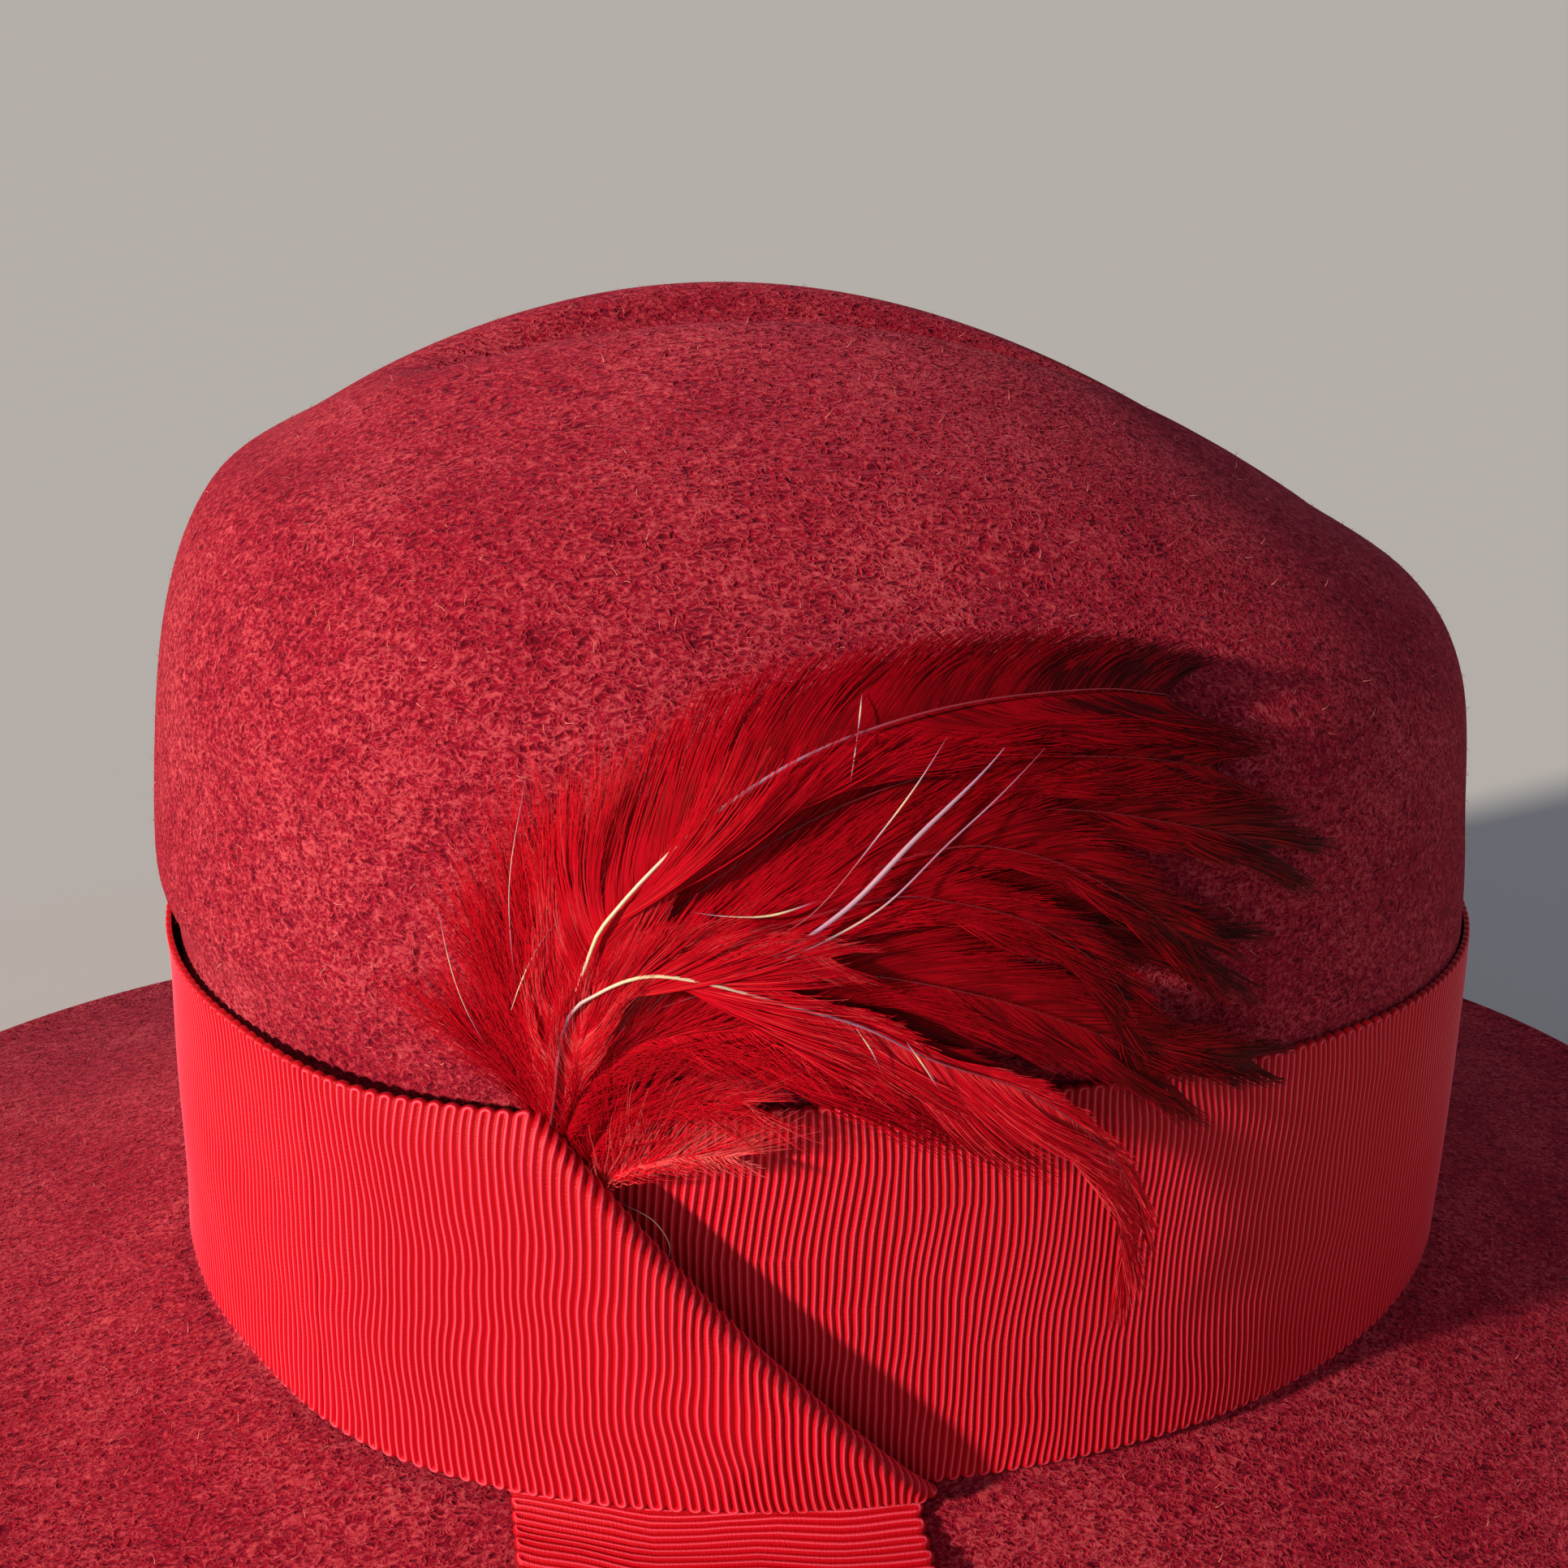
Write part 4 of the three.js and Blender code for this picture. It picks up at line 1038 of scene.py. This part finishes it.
# %% The feathers
KNOT = (242, 52, 2.6)
VANE = {"sweep": 0.35, "wave": 3, "curls": 0.9, "loose": 0.25, "lift": 0.6, "wide": 0.26}
TUFT = {"sweep": 0.2, "wave": 3, "curls": 0.8, "loose": 1.2, "lift": 1.2, "wide": 0.14}
QUILL_TONES = (0.05, 0.35, 1, 0.7, 0.4, 0.25, 0.15, 0.05)
QUILL_RADII = (0.22, 0.24, 0.24, 0.2, 0.15, 0.12, 0.09, 0.04)
QUILL_PROUD = 0.8
# A feather's tone runs from its knot to its tip and is painted light and shade: low where the spray turns into the
# hat's shade, and raised where a feather lies in another's shadow.
FEATHERS = (
    {"piece": "upper", "left": 18, "right": 26, "lean_left": 0.8, "lean_right": 0.5, "tone": (0.62, -0.15), **VANE,
     "path": ((245.9, 78.4, 5), (247.6, 84.9, 6), (251.9, 92.6, 6), (256.8, 97.8, 5.5), (262.8, 101.3, 5),
              (269.1, 103.5, 4.5), (276.8, 104.5, 4), (282, 104, 3.5))},
    {"piece": "upper", "left": 14, "right": 22, "lean_left": 0.4, "lean_right": 0.45, "tone": (0.5, -0.1), **VANE,
     "quill": 0.2, "path": ((247, 74, 3), (252, 85, 3.5), (260, 94, 3.5), (269, 98.5, 3.5), (278, 98.5, 3),
                            (285, 97, 2.5))},
    {"piece": "lower", "left": 9, "right": 25, "lean_left": 0.22, "lean_right": 0.5, "tone": (0.42, 0.45), **VANE,
     "wave": 1.6, "path": ((244.5, 70.7, 6), (246.9, 75.7, 7), (250, 78.2, 7.5), (253.7, 77.1, 7.5),
                           (258.2, 73.7, 7), (262.9, 70, 6.5), (267.1, 64.7, 6), (271.8, 59.6, 6),
                           (276.6, 51.5, 5.5), (279.6, 43, 5), (280.6, 37.5, 4.5))},
    {"piece": "lower", "left": 10, "right": 11, "lean_left": 0.5, "lean_right": 0.6, "tone": (0.48, 0.52), **VANE,
     "wide": 0.14, "quill": 0, "path": ((245.5, 70, 6.4), (248, 76.5, 7.2), (251.5, 80, 7.4), (256, 80.5, 7.2),
                                        (261, 79, 6.8))},
    {"piece": "lower", "left": 12, "right": 26, "lean_left": 0.4, "lean_right": 0.85, "tone": (0.35, 0.2), **VANE,
     "quill": 0, "path": ((246, 66, 3.5), (251, 70, 4.2), (258, 69.5, 4.6), (265, 65.5, 4.6), (270, 60.5, 4.6))},
    {"piece": "lower", "left": 19, "right": 22, "lean_left": 0.45, "lean_right": 0.5, "tone": (0.42, -0.02), **VANE,
     "quill": 0.25, "path": ((247, 68, 3.5), (253, 74, 4), (261, 76, 4), (269, 72, 4), (276, 65.5, 4),
                             (281, 60, 3.5))},
    {"piece": "back", "left": 20, "right": 20, "lean_left": 0.4, "lean_right": 0.4, "tone": (0.5, -0.15), **VANE,
     "quill": 0.2, "path": ((247, 70, 3), (252, 80, 3.5), (258, 88, 3.5), (265.6, 93, 3.5), (274, 93.5, 3),
                            (284, 90, 3), (290, 86, 2.5))},
    {"piece": "back", "left": 16, "right": 18, "lean_left": 0.4, "lean_right": 0.4, "tone": (0.6, -0.1), **VANE,
     "quill": 0.3, "path": ((247, 70, 3.5), (254, 80, 4), (262, 87.5, 4.5), (267.5, 90.4, 4.5), (271, 89.5, 4.5),
                            (275, 86.2, 4.5), (279.5, 80.5, 4), (283, 75, 3.5))},
    {"piece": "middle", "left": 12, "right": 20, "lean_left": 0.4, "lean_right": 0.45, "tone": (0.7, -0.1),
     **VANE, "quill": 0.3, "path": ((247, 70, 4), (251, 76, 4.5), (257, 82, 5), (264, 85.3, 5), (267.6, 84.4, 5),
                                    (270.3, 82.4, 5), (273, 79.3, 5), (276.7, 72.7, 4.5), (279, 66, 4))},
    {"piece": "middle", "left": 20, "right": 22, "lean_left": 0.45, "lean_right": 0.45, "tone": (0.5, -0.15),
     **VANE, "quill": 0.2, "path": ((247, 70, 3), (256, 79, 3), (266, 82, 3), (276, 79, 3), (284, 74, 2.5))},
    {"piece": "middle", "left": 13, "right": 13, "lean_left": 0.5, "lean_right": 0.5, "tone": (0.1, -0.1), **VANE,
     "quill": 0, "knot": (256, 73, 3.5), "path": ((263, 71.5, 3.5), (270, 68.5, 3.5), (277, 64, 3.5),
                                                  (284, 60.5, 3.5), (289, 58, 3))},
    {"piece": "down", "left": 21, "right": 19, "lean_left": 0.35, "lean_right": 0.25, "tone": (0.3, 0.4), **TUFT,
     "path": ((241.3, 64.9, 3), (240.2, 73, 3), (238.4, 80, 2.5))},
    {"piece": "down", "left": 20, "right": 20, "lean_left": 0.3, "lean_right": 0.25, "tone": (0.3, 0.42), **TUFT,
     "path": ((242.2, 67.4, 3), (241.5, 79, 3), (240.9, 87, 2.5))},
    {"piece": "down", "left": 20, "right": 20, "lean_left": 0.3, "lean_right": 0.3, "tone": (0.35, 0.45), **TUFT,
     "path": ((243.2, 71.9, 3.5), (243.5, 82, 3.5), (243.4, 90, 3))},
    {"piece": "down", "left": 20, "right": 15, "lean_left": 0.45, "lean_right": 0.3, "tone": (0.2, 0.35), **TUFT,
     "knot": (241.2, 55.5, 2.6), "path": ((240, 60.5, 3), (238.2, 66, 3), (236.4, 70, 2.5))},
    {"piece": "down", "left": 19, "right": 19, "lean_left": 0.3, "lean_right": 0.3, "tone": (0.35, 0.5), **TUFT,
     "path": ((244, 74, 3.5), (245.3, 84, 3.5), (246.3, 91, 3))},
    {"piece": "down", "left": 13, "right": 16, "lean_left": 0.45, "lean_right": 0.75, "tone": (0.3, 0.42), **TUFT,
     "knot": (243, 51, 2.8), "path": ((244.2, 58, 4.5), (246.5, 65, 5), (250.5, 69, 5.5), (257, 69.5, 5.5),
                                      (262, 67.5, 5.5))},
    {"piece": "down", "left": 12, "right": 15, "lean_left": 0.6, "lean_right": 0.6, "tone": (0.28, 0.48), **TUFT,
     "knot": (244.6, 48, 2.8), "path": ((245.6, 53, 4.5), (247.8, 58.5, 5.2), (251.5, 61, 5.4), (256, 60, 5.2))},
    {"piece": "down", "left": 15, "right": 6, "lean_left": 0.75, "lean_right": 0.5, "tone": (0.5, 0.68), **TUFT,
     "wave": 6, "wide": 0.15, "knot": (245.4, 46, 2.8), "path": ((246.6, 48.6, 4.2), (249, 51.2, 5),
                                                                 (252.2, 52.6, 5), (255.4, 52.4, 4.6))},
)
# A filament's tone runs along it: red towards the ends, and its high points are painted glints.
FILAMENTS = (
    {"thick": (0.05, 0.16, 0.3, 0.32, 0.22, 0.04), "tone": (0.2, 0.35, 0.58, 0.6, 0.58, 0.5),
     "path": ((252.5, 77.5, 6.6), (257.1, 79.2, 7), (261.4, 84.4, 7.2), (265.6, 92.4, 7), (270, 99.5, 6.5))},
    {"thick": (0.04, 0.12, 0.14, 0.12, 0.1, 0.03), "tone": (0.15, 0.4, 0.75, 0.45, 0.5, 0.3),
     "path": ((253, 76, 6.6), (257.6, 78.6, 7), (263.3, 84.2, 7.2), (267.4, 91.7, 7), (272.2, 99.4, 6.5))},
    {"thick": (0.04, 0.1, 0.1, 0.09, 0.11, 0.03), "tone": (0.15, 0.4, 0.2, 0.3, 0.9, 0.3),
     "path": ((251, 79.5, 6.4), (255.3, 80.8, 7), (259.3, 83.8, 7.2), (263.3, 92.5, 7), (267.1, 100.5, 6.5))},
    {"thick": (0.03, 0.12, 0.06, 0.08, 0.02), "tone": (0.2, 1, 0.25, 0.8, 0.1),
     "path": ((262.3, 104.2, 5.5), (262, 101.8, 6.4), (261.5, 97.1, 6.4))},
    {"thick": (0.03, 0.08, 0.15, 0.05), "tone": (0.25, 0.8, 1, 0.15),
     "path": ((252.4, 84.7, 6), (254.9, 84.3, 6.6), (257.4, 84.3, 6.6), (260.2, 85.6, 6.2))},
    {"thick": (0.03, 0.07, 0.1, 0.03), "tone": (0.15, 0.35, 0.95, 0.8),
     "path": ((244.7, 85.6, 5.5), (242.4, 80, 5.5), (240.7, 72.6, 5))},
    {"thick": (0.03, 0.1, 0.07, 0.02), "tone": (0.6, 0.95, 0.3, 0.1),
     "path": ((262.6, 69.9, 7.4), (263.5, 66.8, 7.6), (264.2, 63.1, 7.4))},
    {"thick": (0.03, 0.1, 0.09, 0.02), "tone": (0.5, 1, 0.7, 0.1),
     "path": ((265.5, 67.5, 7.2), (266.5, 64.2, 7.4), (267.4, 60.9, 7.2))},
    {"thick": (0.02, 0.05, 0.06, 0.02), "tone": (0.2, 0.75, 0.85, 0.4),
     "path": ((238.5, 67, 4.6), (236.4, 76, 4.6), (234.8, 84, 4.2))},
    {"thick": (0.02, 0.05, 0.05, 0.02), "tone": (0.15, 0.7, 0.8, 0.3),
     "path": ((241, 76, 5), (240.2, 87, 5), (240.6, 97, 4.4))},
    {"thick": (0.03, 0.08, 0.07, 0.03), "tone": (0.3, 0.9, 0.8, 0.4),
     "path": ((247.6, 45.5, 4.4), (249.8, 43.2, 4.2), (251, 39.4, 4), (250.4, 35.6, 3.6))},
)


def line_mesh(name, rows):
    """Quills as one hidden mesh of lines; a row is its smooth line and its facts at that line's points."""
    points, edges, facts = [], [], {fact: [] for fact in LINE_FACTS}
    for line, values in rows:
        start = len(points)
        for fact in LINE_FACTS:
            facts[fact].extend(values.get(fact, 0.0) * np.ones(len(line)))
        points.extend(line)
        edges.extend((start + k, start + k + 1) for k in range(len(line) - 1))
    return hidden_object(name, points, edges=edges, attributes=facts)


def feather_row(row):
    """A feather's quill from the knot to its tip; its barbs grow from short to long in its first quarter."""
    line = smooth_line([flat_place(*place) for place in (row.get("knot", KNOT), *row["path"])], 60)
    share = np.linspace(0, 1, len(line))
    swell = np.clip(share / 0.25, 0, 1) ** 0.7 * (1 - 0.35 * share)
    values = {name: row[name] for name in ("lean_left", "lean_right", "sweep", "curls", "loose")}
    values |= {name: row[name] * MM for name in ("wave", "lift", "wide")}
    values |= {side: row[side] * swell * MM for side in ("left", "right")}
    # shade is the row's painted light and shade, from the tone at its knot to the tone at its tip.
    values["shade"] = row["tone"][0] + (row["tone"][1] - row["tone"][0]) * share
    return line, values


def spread_along(values, count):
    """A few values, evenly spaced along a line, filled in between."""
    return np.interp(np.linspace(0, 1, count), np.linspace(0, 1, len(values)), values)


def quill_row(row):
    """The same feather's quill: hidden red at its root, then bare and cream, and dyed again further up."""
    line, values = feather_row(row)
    shown = row.get("quill", 1.0)
    thick = spread_along(QUILL_RADII, len(line)) * (0.4 + 0.6 * shown) * MM
    return line + [0, 0, QUILL_PROUD * MM], {"thick": thick, "shade": spread_along(QUILL_TONES, len(line)) * shown}


def filament_row(row):
    """A bare quill or a single filament, tapering at both ends; where its tone is high, its pale colour is a painted
    glint.
    """
    line = smooth_line([flat_place(*place) for place in row["path"]], 40)
    return line, {"thick": spread_along(row["thick"], 40) * MM, "shade": spread_along(row["tone"], 40)}


def grow(name, tree, rows, values):
    """Runs a feather tree on its lines and shows the result."""
    item = run_tree(line_mesh(name, rows), tree, {"Guide": guide_of_crown, **values})
    item.hide_render = False
    print(name, len(item.data.polygons), "faces")
    return item


OVER_RIBBON = 2.0 * MM
RIBBON_EDGE = float(np.interp(RIBBON_TOP_LEVEL, FIELD_LEVELS, FIELD_RISE)) * MM
BARB_SIZES = {"Over Ribbon": OVER_RIBBON, "Ribbon Edge": RIBBON_EDGE, "Material": BARB}
feathers = []
for number, (kind, spacing, steps, spread) in enumerate((
    ("upper", 0.07, 10, 0.16),
    ("lower", 0.08, 10, 0.16),
    ("back", 0.09, 9, 0.2),
    ("middle", 0.1, 9, 0.2),
    ("down", 0.1, 10, 0.6),
)):
    feathers.append(grow("feather_" + kind, BARBS, [feather_row(row) for row in FEATHERS if row["piece"] == kind], {
        "Spacing": spacing * MM, "Steps": steps, "Spread": spread, "Seed": 3 + 10 * number, **BARB_SIZES}))
quill_rows = [quill_row(row) for row in FEATHERS if row["piece"] != "down" and row.get("quill") != 0]
quill_rows += [filament_row(row) for row in FILAMENTS]
feathers.append(grow("feather_quills", QUILLS, quill_rows, {"Step": 0.8 * MM, "Sides": 8, "Material": QUILL}))

# %% [markdown]
# The light comes low from the hat's front left, so that every rib and fibre throws a small shadow and the
# crown turns dark towards its back. A sun lamp with a wide disc is soft enough for a studio, and lights a
# large floor evenly, which a lamp close to the hat could not.

# %% Floor and lights
FLOOR_SIDE = 1000
KEY_FROM = (-0.89, -0.36, 0.29)
KEY_STRENGTH = 5.0
KEY_SOFTNESS = 4
ROOM_STRENGTH = 0.33


def stage_and_lights():
    bpy.ops.mesh.primitive_plane_add(size=FLOOR_SIDE)
    floor = bpy.context.object
    floor.name = "floor"
    material, tree, shader = new_material("pale_floor", 0.9)
    shader.inputs["Base Color"].default_value = hex_colour("#D9D6D0")
    floor.data.materials.append(material)
    world = bpy.data.worlds.new("soft_room")
    bpy.context.scene.world = world
    world.use_nodes = True
    world.node_tree.nodes["Background"].inputs[0].default_value = hex_colour("#CCD2E6")
    world.node_tree.nodes["Background"].inputs[1].default_value = ROOM_STRENGTH
    sun = bpy.data.lights.new("key", "SUN")
    sun.energy = KEY_STRENGTH
    sun.angle = math.radians(KEY_SOFTNESS)
    sun.color = hex_colour("#FFF3E4")[:3]
    lamp = bpy.data.objects.new("key", sun)
    lamp.rotation_euler = (-Vector(KEY_FROM)).to_track_quat("-Z", "Y").to_euler()
    bpy.context.scene.collection.objects.link(lamp)
    bpy.context.scene.view_settings.view_transform = "Standard"


stage_and_lights()

# %% Hand the pieces to the frame
for helper in (guide_of_band, guide_of_tail, guide_of_crown):
    bpy.data.objects.remove(helper)
for piece, slot, node in (
    (felt, "felt", "felt_body"),
    (fibres, "felt", None),
    (ribbon, "ribbon", "ribbon_band"),
    (tail, "ribbon", "ribbon_tail"),
    *((feather, "feather", "feather_spray") for feather in feathers),
):
    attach(piece, "root")
    if node:
        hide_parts(node)
